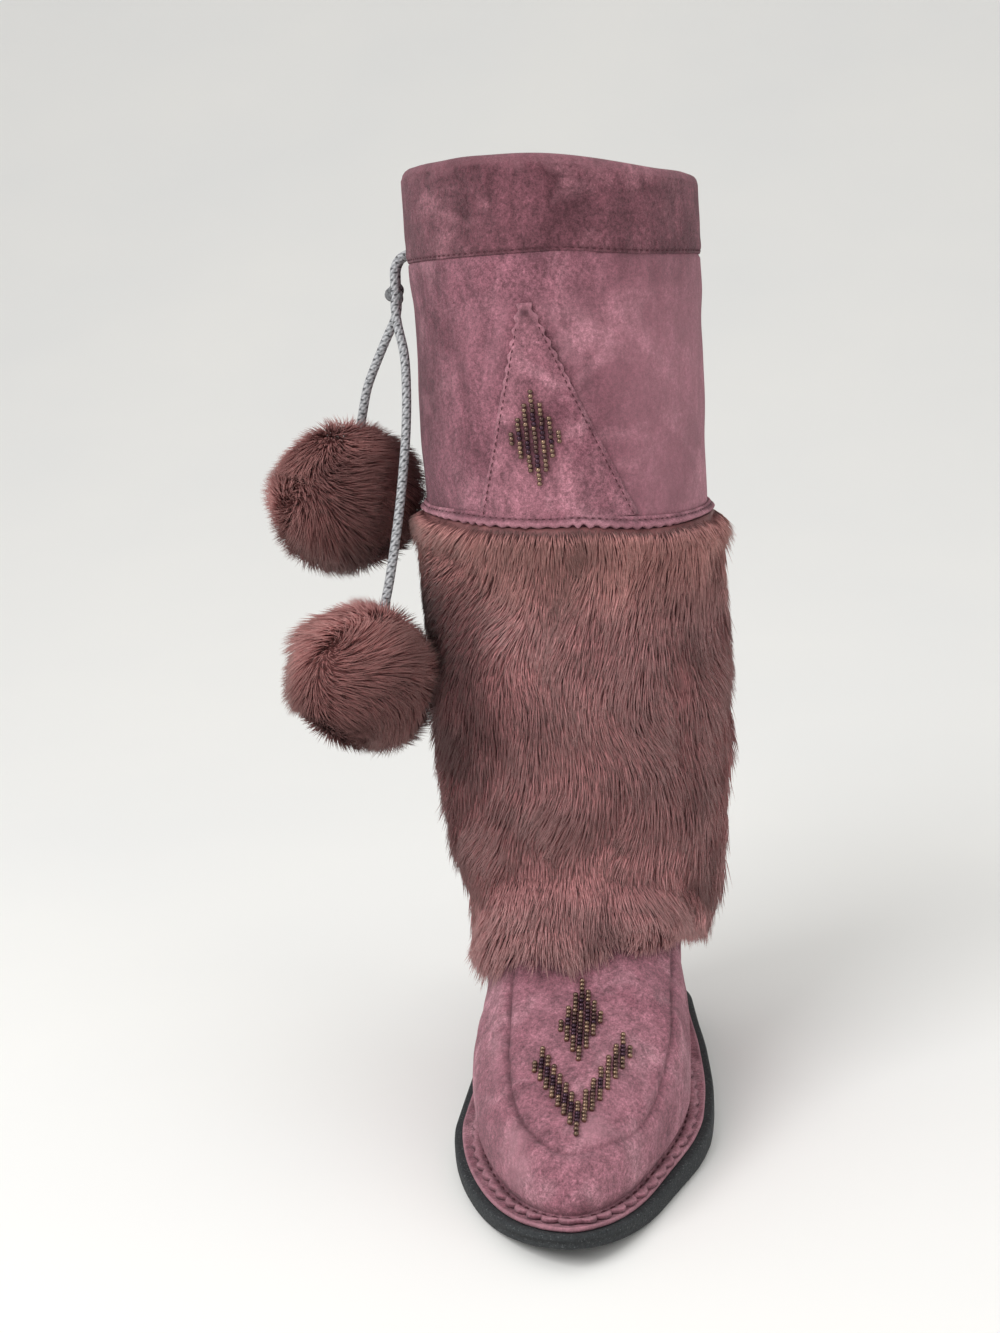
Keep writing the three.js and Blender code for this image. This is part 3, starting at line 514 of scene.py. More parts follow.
# crumbly rubber with pale flecks
rubber, rubberTree, rubberShader, rubberPlace = newMaterial(
    "fleckedRubber", **{"Roughness": 0.8, "Specular IOR Level": 0.35})
crumb = noiseOf(rubberTree, rubberPlace, 900, 4, 0.7)
speck = rampOf(rubberTree, noiseOf(rubberTree, rubberPlace, 1500, 1), 0.66, 0.72)
rubberBody = mixColour(rubberTree, rampOf(rubberTree, crumb, 0.35, 0.65), (0.014, 0.016, 0.018, 1),
                       (0.036, 0.04, 0.043, 1))
mottle(rubberTree, rubberShader, speck, rubberBody, (0.13, 0.14, 0.145, 1))
rubberTree.links.new(bumpOf(rubberTree, crumb, 0.0006, 0.6), rubberShader.inputs["Normal"])

# plush pile: tufts in a fine cell pattern, paler on the tufts, with painted shade in the gaps between them
pile, pileTree, pileShader, pilePlace = newMaterial(
    "plushPile", **{"Roughness": 0.9, "Sheen Weight": 0.4, "Sheen Roughness": 0.5,
                    "Sheen Tint": (1.0, 0.88, 0.88, 1)})
tufts = addNode(pileTree, "ShaderNodeTexVoronoi", {"Vector": pilePlace, "Scale": 420.0}).outputs["Distance"]
pileCurl = noiseOf(pileTree, pilePlace, 90, 3)
pileGapShade = mixColour(pileTree, pileCurl, (0.2, 0.1, 0.105, 1), (0.4, 0.24, 0.25, 1))
mottle(pileTree, pileShader, rampOf(pileTree, tufts, 0.1, 0.7), (0.5, 0.32, 0.33, 1), pileGapShade)
pileTree.links.new(bumpOf(pileTree, tufts, 0.0015, -0.7), pileShader.inputs["Normal"])
print("materials ready")

# camera
view = dict(place=(57.916, -757.017, 332.596), yaw=-0.111278, pitch=-0.180979, roll=-0.064589,
            focal=1924.73, tall=1333.0, sensor=36.0)
ahead = np.array([math.sin(view["yaw"]) * math.cos(view["pitch"]),
                  math.cos(view["yaw"]) * math.cos(view["pitch"]), math.sin(view["pitch"])])
level = np.cross(ahead, (0, 0, 1))
level /= np.linalg.norm(level)
upright = np.cross(level, ahead)
cameraX = math.cos(view["roll"]) * level + math.sin(view["roll"]) * upright
cameraY = -math.sin(view["roll"]) * level + math.cos(view["roll"]) * upright
lens = bpy.data.cameras.new("photoView")
lens.sensor_width = view["sensor"]
lens.lens = view["focal"] / view["tall"] * view["sensor"]
lens.clip_start, lens.clip_end = 0.05, 20
camera = bpy.data.objects.new("photoView", lens)
bpy.context.collection.objects.link(camera)
turned = Matrix([[cameraX[i], cameraY[i], -ahead[i], view["place"][i] / 1000] for i in range(3)]
                + [[0, 0, 0, 1]])
camera.matrix_world = turned
bpy.context.scene.camera = camera

# drawstring
cords = dict(
    diameter=4.0, sides=20, step=0.42,
    fromSlotA=[(-60, 65.3, 359.3), (-62.4, 65.3, 359), (-65.2, 65.3, 357.2), (-67, 65.2, 353.8),
               (-67.4, 65.1, 350)],
    fromSlotB=[(-60, 60.7, 359.3), (-62.4, 60.7, 359), (-65.2, 60.7, 357.2), (-67, 60.8, 353.8),
               (-67.4, 60.9, 350)],
    hangA=[(-68, 65.2, 337), (-69.8, 65.9, 332), (-73.8, 67, 325), (-79.2, 68.8, 315),
           (-84, 70, 304.8), (-87.2, 71.2, 293.7), (-89.8, 72.3, 283.5), (-91.6, 72.6, 276.5)],
    hangB=[(-68, 60.8, 337.2), (-67.2, 59.3, 330), (-64.8, 55.5, 318), (-64.3, 51, 303),
           (-65, 46.5, 287), (-66.5, 42, 272), (-68.4, 37.5, 257), (-70.8, 33, 242),
           (-73.6, 28.8, 227), (-76.4, 25.4, 215), (-78.6, 23.4, 206)],
    knot=(-68, 63, 343.6), knotWide=(0.85, 1.05, 1.8), knotRadius=1.9, knotSides=18, knotSteps=220,
    knotShade=0.4, pathEvery=6,
    pomA=(-97.5, 72.5, 258), pomB=(-86.4, 19.2, 188.2),
)


# even steps along a smooth curve through the points: each stretch a Catmull-Rom cubic
def routeOf(points, step):
    points = np.asarray(points, float)
    padded = np.vstack([2 * points[0] - points[1], points, 2 * points[-1] - points[-2]])
    t = np.linspace(0, 1, 24, endpoint=False)[:, None]
    stretches = [0.5 * ((2 * b) + (c - a) * t + (2 * a - 5 * b + 4 * c - d) * t ** 2
                        + (3 * b - a - 3 * c + d) * t ** 3)
                 for a, b, c, d in zip(padded[:-3], padded[1:-2], padded[2:-1], padded[3:])]
    fine = np.vstack(stretches + [points[-1:]])
    way = np.r_[0, np.cumsum(np.linalg.norm(np.diff(fine, axis=0), axis=1))]
    even = np.linspace(0, way[-1], max(3, int(round(way[-1] / step)) + 1))
    return np.stack([np.interp(even, way, fine[:, axis]) for axis in range(3)], -1)


# a tube round a path, its side and lift turned with the path so that it doesn't twist; the braid
# lifts the skin by |sin(strands * angle + pitch * way)| in two crossing sets
def braidTube(path, radius, sides, closed=False):
    tangent = (np.roll(path, -1, 0) - np.roll(path, 1, 0)) if closed else np.gradient(path, axis=0)
    tangent /= np.linalg.norm(tangent, axis=1, keepdims=True)
    side = np.cross(tangent, (0.3, -0.9, 0.15))
    side /= np.linalg.norm(side, axis=1, keepdims=True)
    lift = np.cross(side, tangent)
    way = np.r_[0, np.cumsum(np.linalg.norm(np.diff(path, axis=0), axis=1))]
    angle = np.linspace(0, 2 * np.pi, sides, endpoint=False)[None, :]
    first = np.abs(np.sin(3 * angle + way[:, None] * 1.15))
    second = np.abs(np.sin(3 * angle - way[:, None] * 1.15))
    ridge = np.maximum(first, second)
    size = radius * (0.86 + 0.14 * ridge)
    points = path[:, None] + size[..., None] * (np.cos(angle)[..., None] * side[:, None]
                                                + np.sin(angle)[..., None] * lift[:, None])
    over = (first > second)[..., None]
    silver, steel, dark = np.array([[0.62, 0.63, 0.65], [0.36, 0.37, 0.39], [0.035, 0.035, 0.04]])
    # painted shade: each strand's colour darkens toward the grooves between strands
    yarnAndGrooveShade = np.where(over, silver, steel) * (0.3 + 0.7 * ridge[..., None] ** 2)
    fleck = (np.sin(2.1 * way)[:, None] * np.sin(angle * 2 + 0.7 * way[:, None]) > 0.62)[..., None]
    yarnAndGrooveShade = np.where(fleck, dark, yarnAndGrooveShade)
    faces = [gridFaces(len(path), sides, closed, True)]
    if not closed:
        count = len(path) * sides
        points = np.vstack([points.reshape(-1, 3), path[:1], path[-1:]])
        yarnAndGrooveShade = np.vstack([yarnAndGrooveShade.reshape(-1, 3), [steel], [steel]])
        ring = np.arange(sides)
        after = (ring + 1) % sides
        lastRing = np.array([count - sides, count - sides, 0])
        faces += [np.stack([after, ring, np.full(sides, count)], -1),
                  np.stack([ring, after, np.full(sides, count + 1)], -1) + lastRing]
    return points.reshape(-1, 3), faces, yarnAndGrooveShade.reshape(-1, 3)


# a cord along its route, and its path in metres at every few steps
def makeCord(name, route, stands):
    path = routeOf(route, cords["step"])
    points, faces, yarnAndGrooveShade = braidTube(path, cords["diameter"] / 2, cords["sides"])
    flip = enclosed(points, faces[0]) < 0
    piece = makePiece(name, points, faces, braid, stands, colours={"yarnAndGrooveShade": yarnAndGrooveShade}, flip=flip)
    marks = path[::cords["pathEvery"]]
    if (len(path) - 1) % cords["pathEvery"]:
        marks = np.vstack([marks, path[-1:]])
    return piece, marks / 1000


routeA = cords["fromSlotA"] + [(-67.6, 65.0, 343.5)] + cords["hangA"] + [(-93.4, 72.8, 270.5)]
routeB = cords["fromSlotB"] + [(-67.6, 61.0, 343.5)] + cords["hangB"] + [(-80.8, 22.0, 200.0)]
cordA, pathA = makeCord("drawcord_upper", routeA, ["cord_a_top", "cord_a"])
cordB, pathB = makeCord("drawcord_lower", routeB, ["cord_b_top", "cord_b"])

# overhand knot: a tube along a trefoil, (sin t + 2 sin 2t, cos t - 2 cos 2t, -sin 3t)
t = np.linspace(0, 2 * np.pi, cords["knotSteps"], endpoint=False)
across, tall, deep = cords["knotWide"]
trefoil = np.stack([(np.cos(t) - 2 * np.cos(2 * t)) * across, -np.sin(3 * t) * deep,
                    (np.sin(t) + 2 * np.sin(2 * t)) * tall], -1) + cords["knot"]
knotPoints, knotFaces, knotYarnAndShade = braidTube(trefoil, cords["knotRadius"], cords["knotSides"], closed=True)
# painted shade: the whole knot darkened to 0.4 of its braid's colour
knot = makePiece("drawcord_knot", knotPoints, knotFaces, braid, ["drawstring_knot"],
                 colours={"yarnAndGrooveShade": knotYarnAndShade * cords["knotShade"]},
                 flip=enclosed(knotPoints, knotFaces[0]) < 0)


# hair
# each strand is a bent spindle of five points: the root, three points round a bend at 42% of the
# way, and the tip; its colours run from the root's to the tip's, and each has its own cell of the map
def makeHair(name, roots, bends, tips, width, rootColour, bendColour, tipColour, stands=()):
    count = len(roots)
    along = tips - roots
    side = np.cross(along, np.array([0.31, 0.22, 0.92]))
    side /= np.linalg.norm(side, axis=1, keepdims=True) + 1e-9
    lift = np.cross(side, along)
    lift /= np.linalg.norm(lift, axis=1, keepdims=True) + 1e-9
    points = np.empty((count, 5, 3))
    points[:, 0], points[:, 4] = roots, tips
    for corner in range(3):
        angle = corner * 2 * math.pi / 3
        spoke = math.cos(angle) * side + math.sin(angle) * lift
        points[:, 1 + corner] = bends + width * 0.5 * spoke
    colour = np.empty((count, 5, 3))
    colour[:, 0], colour[:, 4] = rootColour, tipColour
    colour[:, 1:4] = bendColour[:, None]
    shape = np.array([[0, 2, 1], [0, 3, 2], [0, 1, 3], [4, 1, 2], [4, 2, 3], [4, 3, 1]])
    faces = (np.arange(count)[:, None, None] * 5 + shape[None]).reshape(-1, 3)
    cells = int(math.ceil(math.sqrt(count)))
    corner = np.stack([np.arange(count) % cells, np.arange(count) // cells], -1) / cells
    u, v = np.empty((6, 3)), np.empty((6, 3))
    for face in range(6):
        for c in range(3):
            point = shape[face, c]
            third = face if face < 3 else face - 3
            spot = {0: 0.5, 4: 0.5}.get(point, 0.08 if c == 1 else 0.92)
            u[face, c] = (third + spot) / 3
            v[face, c] = {0: 0.06, 4: 0.94}.get(point, 0.42)
    uv = (corner[:, None, None] + np.stack([u, v], -1)[None] * 0.9 / cells + 0.05 / cells)
    return makePiece(name, points, faces, furHair, stands, colours={"hairColour": colour},
                     uv=uv, uvName="OFBake")


# pompoms
poms = dict(core=0.76, coreRows=36, coreColumns=52, strands=13000, tufts=260, length=(0.46, 0.72), width=0.46,
            root=(0.22, 0.075, 0.072), middle=(0.3, 0.112, 0.106), tip=(0.52, 0.275, 0.255))


goldenAngle = 2.399963


# even spiral on a ball: height in equal steps, turn by the golden angle, then shaken
def sphereSpots(count, dice):
    height = 1 - 2 * (np.arange(count) + 0.5) / count
    turn = np.arange(count) * goldenAngle + dice.normal(0, 0.02, count)
    ring = np.sqrt(1 - height ** 2)
    spots = np.stack([ring * np.cos(turn), ring * np.sin(turn), height], -1)
    spots += dice.normal(0, 0.018, spots.shape)
    return spots / np.linalg.norm(spots, axis=1, keepdims=True)


# a core with long hair: each hair leans along a flow that turns with slow waves round the ball and
# sinks a little, and the hairs of one tuft draw together at their tips
def makePom(name, centre, radius, pole, stands, seed):
    dice = np.random.default_rng(seed)
    centre, pole = np.array(centre), np.array(pole, float) / np.linalg.norm(pole)
    coreRadius = radius * poms["core"]
    rows, columns = poms["coreRows"], poms["coreColumns"]
    down = np.linspace(0.001, math.pi - 0.001, rows)[:, None]
    turned = np.linspace(0, 2 * math.pi, columns, endpoint=False)[None, :]
    way = np.stack(np.broadcast_arrays(np.sin(down) * np.cos(turned), np.sin(down) * np.sin(turned),
                                       np.cos(down)), -1)
    size = coreRadius * (1 + 0.05 * wander(way * 20, 9, seed))
    core = (centre + way * size[..., None]).reshape(-1, 3)
    shell = gridFaces(rows, columns, False, True)
    core = np.vstack([core, centre + (0, 0, coreRadius), centre - (0, 0, coreRadius)])
    ring = np.arange(columns)
    after, end = (ring + 1) % columns, rows * columns
    caps = [np.stack([ring, after, np.full(columns, end)], -1),
            np.stack([after + end - columns, ring + end - columns, np.full(columns, end + 1)], -1)]
    body = makePiece(name + "_core", core, [shell] + caps, furHair, [],
                     flip=enclosed(core, shell) < 0,
                     colours={"hairColour": np.tile(np.array(poms["root"]), (len(core), 1))})
    spots = sphereSpots(poms["strands"], dice)
    tufts = sphereSpots(poms["tufts"], dice)
    nearest = np.argmax(spots @ tufts.T, axis=1)
    fromPole = spots - (spots @ pole)[:, None] * pole
    far = np.linalg.norm(fromPole, axis=1, keepdims=True)
    fromPole /= far + 1e-6
    away = fromPole - (fromPole * spots).sum(1, keepdims=True) * spots
    drift = np.stack([wander(spots * 27, 34, seed + 11 + axis) for axis in range(3)], -1)
    spiral = np.cross(pole, spots)
    flow = 0.45 * away * smooth(far, 0.15, 0.95) + 0.35 * spiral + 0.65 * drift + np.array([0.1, 0, -0.45])
    flow -= (flow * spots).sum(1, keepdims=True) * spots
    length = radius * dice.uniform(*poms["length"], len(spots))[:, None]
    lean = 1.25 + dice.normal(0, 0.15, (len(spots), 1))
    aim = spots + lean * flow + dice.normal(0, 0.12, spots.shape)
    aim /= np.linalg.norm(aim, axis=1, keepdims=True)
    roots = centre + spots * (coreRadius - 1.0)
    tips = roots + aim * length
    sums = np.stack([np.bincount(nearest, tips[:, axis], len(tufts)) for axis in range(3)], -1)
    gathered = sums / np.maximum(1, np.bincount(nearest, minlength=len(tufts)))[:, None]
    tips += (gathered[nearest] - tips) * dice.uniform(0.0, 0.38, (len(spots), 1))
    out = np.linalg.norm(tips - centre, axis=1, keepdims=True)
    swell = 1.9 * wander(spots * 27, 26, seed + 4)[:, None]
    limit = radius + swell + dice.uniform(-2.5, 2.4, out.shape)
    tips = centre + (tips - centre) * np.minimum(1, limit / out)
    bends = roots + (tips - roots) * 0.42 + spots * 1.6
    tone = 0.94 + 0.17 * wander(spots * 27, 24, seed + 3) + dice.normal(0, 0.08, len(spots))
    # painted shade and light: the ball darker underneath and paler on top
    tone *= 0.55 + 0.55 * smooth(spots[:, 2], -0.9, 0.6)
    tone = np.clip(tone, 0.35, 1.4)[:, None]
    tuftTone = dice.uniform(0.9, 1.12, len(tufts))[nearest][:, None]
    hair = makeHair(name + "_hair", roots, bends, tips, poms["width"],
                    np.array(poms["root"]) * tone, np.array(poms["middle"]) * tone * tuftTone,
                    np.array(poms["tip"]) * tone * tuftTone, stands)
    return [body, hair]


pomA = makePom("pompom_upper", cords["pomA"], 35.0, (0.35, -0.1, 0.93), ["pompom_a"], 5)
pomB = makePom("pompom_lower", cords["pomB"], 33.0, (0.25, -0.35, 0.9), ["pompom_b"], 6)
print("drawstring and pompoms ready")


# stitches
# each stitch is a small capsule laid along a line: rings of six points at five stations, swelling
# as the root of 1 - s^2, with its ends bent down into the surface
def makeStitches(name, starts, ends, normals, width, material, sag=0.5):
    stations = np.array([-1, -0.72, 0, 0.72, 1])
    swell = np.array([0.25, 0.8, 1, 0.8, 0.25])
    sink = np.array([-1, -0.35, 0, -0.35, -1]) * sag
    count = len(starts)
    along = ends - starts
    side = np.cross(along, normals)
    side /= np.linalg.norm(side, axis=1, keepdims=True) + 1e-9
    angle = np.arange(6) * math.pi / 3
    middle = (starts + ends) / 2
    ring = (side[:, None, None] * np.cos(angle)[None, None, :, None]
            + normals[:, None, None] * np.sin(angle)[None, None, :, None])
    points = (middle[:, None, None] + along[:, None, None] * stations[None, :, None, None] / 2
              + normals[:, None, None] * sink[None, :, None, None]
              + ring * swell[None, :, None, None] * width / 2)
    shell = gridFaces(5, 6, False, True)
    if enclosed(points[0], shell) < 0:
        shell = shell[:, ::-1]
    caps = np.array([[3, 2, 1, 0], [5, 4, 3, 0], [24, 25, 26, 27], [24, 27, 28, 29]])
    faces = (np.arange(count)[:, None, None] * 30 + np.vstack([shell, caps])[None]).reshape(-1, 4)
    return makePiece(name, points, faces, material)


# stitches of a given length and gap along a line of points with normals
def stitchLine(path, normals, pitch, share, lift=0.0):
    way = np.r_[0, np.cumsum(np.linalg.norm(np.diff(path, axis=0), axis=1))]
    count = int(way[-1] // pitch)
    starts = (np.arange(count) + 0.5 - share / 2) * way[-1] / count
    ends = starts + share * way[-1] / count

    def at(places, values):
        return np.stack([np.interp(places, way, values[:, i]) for i in range(3)], -1)

    normal = at((starts + ends) / 2, normals)
    normal /= np.linalg.norm(normal, axis=1, keepdims=True)
    return at(starts, path) + normal * lift, at(ends, path) + normal * lift, normal


# sole
soleLook = dict(around=260, bottomRings=24, channels=(52, 66, 80, 94, 108, 206, 220, 234, 248),
                channelWidth=3.6, channelDepth=2.2, margin=8.5)


# the sole's underside with the arch, which lifts it between the ball and the heel
def archUnder(behind):
    share = smooth(behind, 122, 152) * (1 - smooth(behind, 172, 200))
    return soleUnder(behind) + boot["archRise"] * share


# one ring of the sole's side: its edge drawn in by inset, at a height that varies along it
def soleRing(inset, height):
    x, behind = soleEdge(soleTurns, inset)
    return np.stack([x, behind - midLength, height(behind)], -1)


soleTurns = np.arange(soleLook["around"]) / soleLook["around"]
sideLevels = [(2.2, archUnder), (1.1, lambda b: archUnder(b) + 0.5),
              (0.5, lambda b: archUnder(b) + 1.7), (0.1, lambda b: archUnder(b) + 3.4),
              (0.0, lambda b: (archUnder(b) + soleTop(b)) / 2), (0.0, lambda b: soleTop(b) - 1.8),
              (0.15, lambda b: soleTop(b) - 0.7), (0.7, lambda b: soleTop(b) - 0.1),
              (1.4, soleTop), (3.4, soleTop)]
rings = [soleRing(inset, height) for inset, height in sideLevels]
bottomX, bottomBehind = soleEdge(soleTurns, 2.2)
inward = []
for share in np.linspace(1, 0, soleLook["bottomRings"])[1:]:
    x, behind = bottomX * share, midLength + (bottomBehind - midLength) * np.sqrt(share) ** 1.4
    outerEdge = through(boot["sole"], 1, behind) - soleLook["margin"]
    innerEdge = through(boot["sole"], 2, behind) - soleLook["margin"]
    within = smooth(np.where(x > 0, innerEdge, outerEdge) - np.abs(x), -0.5, 1.2)
    cut = sum(smooth(soleLook["channelWidth"] / 2 + 0.5 - np.abs(behind - c), 0, 1.0)
              for c in soleLook["channels"])
    up = archUnder(behind) + cut * within * soleLook["channelDepth"]
    inward.append(np.stack([x, behind - midLength, up], -1))
topX, topBehind = soleEdge(soleTurns, 3.4)
topRings = []
for share in (0.8, 0.45, 0.12):
    behind = topBehind * share + midLength * (1 - share)
    topRings.append(np.stack([topX * share, behind - midLength, soleTop(behind)], -1))
allRings = np.stack(inward[::-1] + rings + topRings)
soleFaces = gridFaces(len(allRings), soleLook["around"], False, True)
ring = np.arange(soleLook["around"])
lastRow = (len(allRings) - 1) * soleLook["around"]
points = np.vstack([allRings.reshape(-1, 3), allRings[-1].mean(0)[None]])
cap = np.stack([ring + lastRow, (ring + 1) % soleLook["around"] + lastRow,
                np.full(len(ring), len(points) - 1)], -1)
makePiece("rubber_sole", points, [soleFaces, cap], rubber, ["outsole"],
          flip=enclosed(points, soleFaces) < 0)

# welt strip
weltAround = 420
weltProfile = [(0.0, 0.3), (0.97, 0.3), (1.0, 0.9), (0.995, 1.6), (0.965, 2.05), (0.9, 2.12), (0.6, 2.1),
               (0.3, 2.1), (0.0, 2.1)]  # share of the way out to the sole's edge, height over the sole
weltTurns = np.arange(weltAround) / weltAround
inner = levelOut(weltTurns, -2.1, 0)
edgeX, edgeBehind = soleEdge(weltTurns, 3.4)
stripRows = []
for share, over in weltProfile:
    x = inner[:, 0] * (1 - share) + edgeX * share
    y = inner[:, 1] * (1 - share) + (edgeBehind - midLength) * share
    stripRows.append(np.stack([x, y, soleTop(y + midLength) + over], -1))
stripRows = np.stack(stripRows)
stripFaces = gridFaces(len(stripRows), weltAround, True, True)
zero = np.zeros(stripRows.shape[:2])
paleEdge = zero.copy()
paleEdge[2:5] = 0.6
makePiece("welt_suede", stripRows, stripFaces, footSuede, ["welt_strip"],
          fields={"wornAndLit": paleEdge, "shade": zero}, flip=enclosed(stripRows, stripFaces) < 0)
print("sole and strip ready")

# foot of the upper, with the apron
apron = dict(half=30.0, tip=25.3, round=70.0, power=1.9, back=144.0, shift=4.5, shiftFrom=20.0,
             shiftTo=115.0, shoulder=0.9, trough=1.6, steps=420)
footLook = dict(around=372, flange=4.7, scallop=1.45, scallopPitch=8.6, stitchPitch=5.4)


# the apron's half width, and how far its middle line shifts to the inner side along the foot
def apronHalf(behind):
    return apron["half"] * roundedEnd(behind - apron["tip"], apron["round"], apron["power"])


def apronMiddle(behind):
    return apron["shift"] * smooth(behind, apron["shiftFrom"], apron["shiftTo"])


edgeT = np.linspace(-1, 1, apron["steps"])
edgeBack = apron["tip"] + (apron["back"] - apron["tip"]) * np.abs(edgeT) ** 2.2
seamX = apronMiddle(edgeBack) + np.sign(edgeT) * apronHalf(edgeBack) * (np.abs(edgeT) > 1e-6)
apronSeam = overFoot(seamX, edgeBack + 0.01, 1.8)


# distance to the nearest point of the apron's seam in mm, positive inside it
def seamDistance(points):
    flat = points.reshape(-1, 3)
    near = (flat[:, 1] < 12) & (flat[:, 2] > 22)
    distance = np.full(len(flat), -60.0)
    chosen = flat[near]
    best = np.full(len(chosen), 1e9)
    for part in range(0, len(apronSeam), 35):
        gaps = np.linalg.norm(chosen[:, None] - apronSeam[None, part:part + 35], axis=2).min(1)
        best = np.minimum(best, gaps)
    behind = chosen[:, 1] + midLength
    within = (behind > apron["tip"]) & (np.abs(chosen[:, 0] - apronMiddle(behind)) < apronHalf(behind))
    distance[near] = np.where(within, best, -best)
    return distance.reshape(points.shape[:-1])


footTurns = np.linspace(0, 1, footLook["around"], endpoint=False)
footTurns = footTurns - 0.055 * np.sin(4 * np.pi * footTurns)  # closer rows at the toe and heel
footRises = np.r_[np.linspace(0.012, 0.3, 96), np.linspace(0.304, 0.46, 16)]
turnGrid, riseGrid = np.meshgrid(footTurns, footRises)
base = onBoot(turnGrid, riseGrid, bandOut(riseGrid))
away = outward(base)
distance = seamDistance(base)
onTop = smooth(base[..., 2], 20, 30)
bulge = apron["shoulder"] * np.exp(-((distance + 4.5) / 3.8) ** 2)
pucker = 0.22 * np.exp(-((distance - 3.2) / 2.4) ** 2)
seamShare = 0.3 + 0.7 * smooth(-base[..., 0], -12, 18)  # sharp on the outer side, soft on the inner
seamShare = np.maximum(seamShare, 0.75 * smooth(base[..., 1], -75, -45))
groove = -apron["trough"] * (0.5 + 0.5 * seamShare) * np.exp(-(distance / 1.0) ** 2)
inset = -0.35 * smooth(distance, 0, 2.5)
soft = 0.45 * wander(base, 46, 11) + 0.16 * wander(base, 14, 12)
# a soft fold runs back along the inner side of the toe
fold = 0.66 * np.exp(-((base[..., 0] - 34 - 0.05 * (base[..., 1] + 60)) / 3.5) ** 2)
fold *= smooth(base[..., 1], -95, -60) * smooth(-base[..., 1], 20, 45)
base = base + away * (bulge + pucker + groove + inset + (soft + fold) * onTop)[..., None]
way = np.r_[0, np.cumsum(np.linalg.norm(np.diff(levelOut(footTurns, 5.2, 0), axis=0), axis=1))]
teeth = round(way[-1] / footLook["scallopPitch"])
pinked = np.abs(np.sin(way / way[-1] * math.pi * teeth)) ** 0.7 * 2 - 1
reach = footLook["flange"] + footLook["scallop"] * pinked + 0.3 * wander(levelOut(footTurns, 0, 0), 12, 13)
# the flange from under the foot out to its edge and back in over the stitches' groove
flangeProfile = [(-2.6, 0), (reach - 0.2, 0.02), (reach, 0.5), (reach - 0.05, 1.15), (reach - 0.5, 1.6),
                 ((reach + 3.2) / 2, 1.75), (2.9, 1.65), (2.2, 1.25), (1.5, 1.2), (1.0, 1.9)]
lowRows = [levelOut(footTurns, out, up) for out, up in flangeProfile]
inside = onBoot(*np.meshgrid(footTurns, footRises[::-6]), -boot["wallInside"])
footShell = np.concatenate([np.stack(lowRows), base, inside])
rowCount = footShell.shape[0]
footFaces = gridFaces(rowCount, footLook["around"], True, True)
shade = np.zeros(footShell.shape[:2])
wornAndLit = np.zeros(footShell.shape[:2])
lowCount = len(lowRows)
body = slice(lowCount, lowCount + len(footRises))
shade[body] = seamShare * (0.75 * np.exp(-(distance / 0.7) ** 2) + 0.2 * np.exp(-(distance / 2.4) ** 2))
shade[body] += 0.3 * (1 - smooth(riseGrid, 0.012, 0.05))
shade[7:9] = 0.5
shade[1:4] = np.array([0.75, 0.7, 0.4])[:, None]
wornAndLit[4:6] = 0.55
# paler on a patch over the toe and in a band along the raised shoulder outside the apron seam, broken up by a
# slow noise
paleMottle = 0.5 + 0.5 * wander(base, 26, 14)
toePatch = np.exp(-(((base[..., 0] + 4) / 30) ** 2 + ((base[..., 1] + 106) / 20) ** 2))
wornAndLit[body] = 0.75 * toePatch * smooth(paleMottle, 0.45, 1.1)
wornAndLit[body] += 0.3 * np.exp(-((distance + 4.5) / 3.0) ** 2) * smooth(paleMottle, 0.2, 0.9)
makePiece("foot_suede", footShell, footFaces, footSuede, ["upper", "apron"],
          fields={"wornAndLit": wornAndLit, "shade": np.clip(shade, 0, 1)}, flip=enclosed(footShell, footFaces) < 0)

closing = np.r_[footTurns, 1.0]
stitchPath = levelOut(closing, 1.85, 1.3)
flangeUp = np.tile([0.0, 0.0, 1.0], (len(stitchPath), 1))
starts, ends, normals = stitchLine(stitchPath, flangeUp, footLook["stitchPitch"], 0.62, 0.15)
makeStitches("welt_stitches", starts, ends, normals, 0.8, thread)
print("foot ready")

# shaft of the upper
# the cuff's lower edge: a little lower on the inner side
def cuffAt(turn):
    return 355.2 - 3.6 * smooth(np.sin(turn * 2 * np.pi), 0.05, 0.95)


gusset = dict(apexUp=336.0, baseUp=251.0, baseHalf=32.2, tipHalf=2.2, baseX=-0.2, apexX=-8.0, face=1.75,
              under=0.3, pinkPitch=5.2, pinkDeep=0.7, rows=110, columns=50)


# the gusset's middle line and half width go evenly from its foot (share 0) to its apex (share 1)
def gussetMiddle(share):
    return gusset["baseX"] + (gusset["apexX"] - gusset["baseX"]) * share


def gussetHalf(share):
    return gusset["baseHalf"] + (gusset["tipHalf"] - gusset["baseHalf"]) * share


shaftLook = dict(around=220, low=0.44)
shaftTurns = np.linspace(0, 1, shaftLook["around"], endpoint=False)
shaftRises = np.r_[np.linspace(shaftLook["low"], 0.79, 12), np.linspace(0.797, riseAt(356.5), 54)]
turnGrid, riseGrid = np.meshgrid(shaftTurns, shaftRises)
wall = onBoot(turnGrid, riseGrid, bandOut(riseGrid))
soft = 0.55 * wander(wall, 90, 21) + 0.22 * wander(wall, 30, 22)
fromCuff = wall[..., 2] - cuffAt(turnGrid)
pressed = 1.45 * smooth(fromCuff, -32, -2) - 0.4 * np.exp(-((fromCuff - 0.3) / 0.8) ** 2)
pressed -= 1.5 * smooth(fromCuff, 0.2, 0.9)
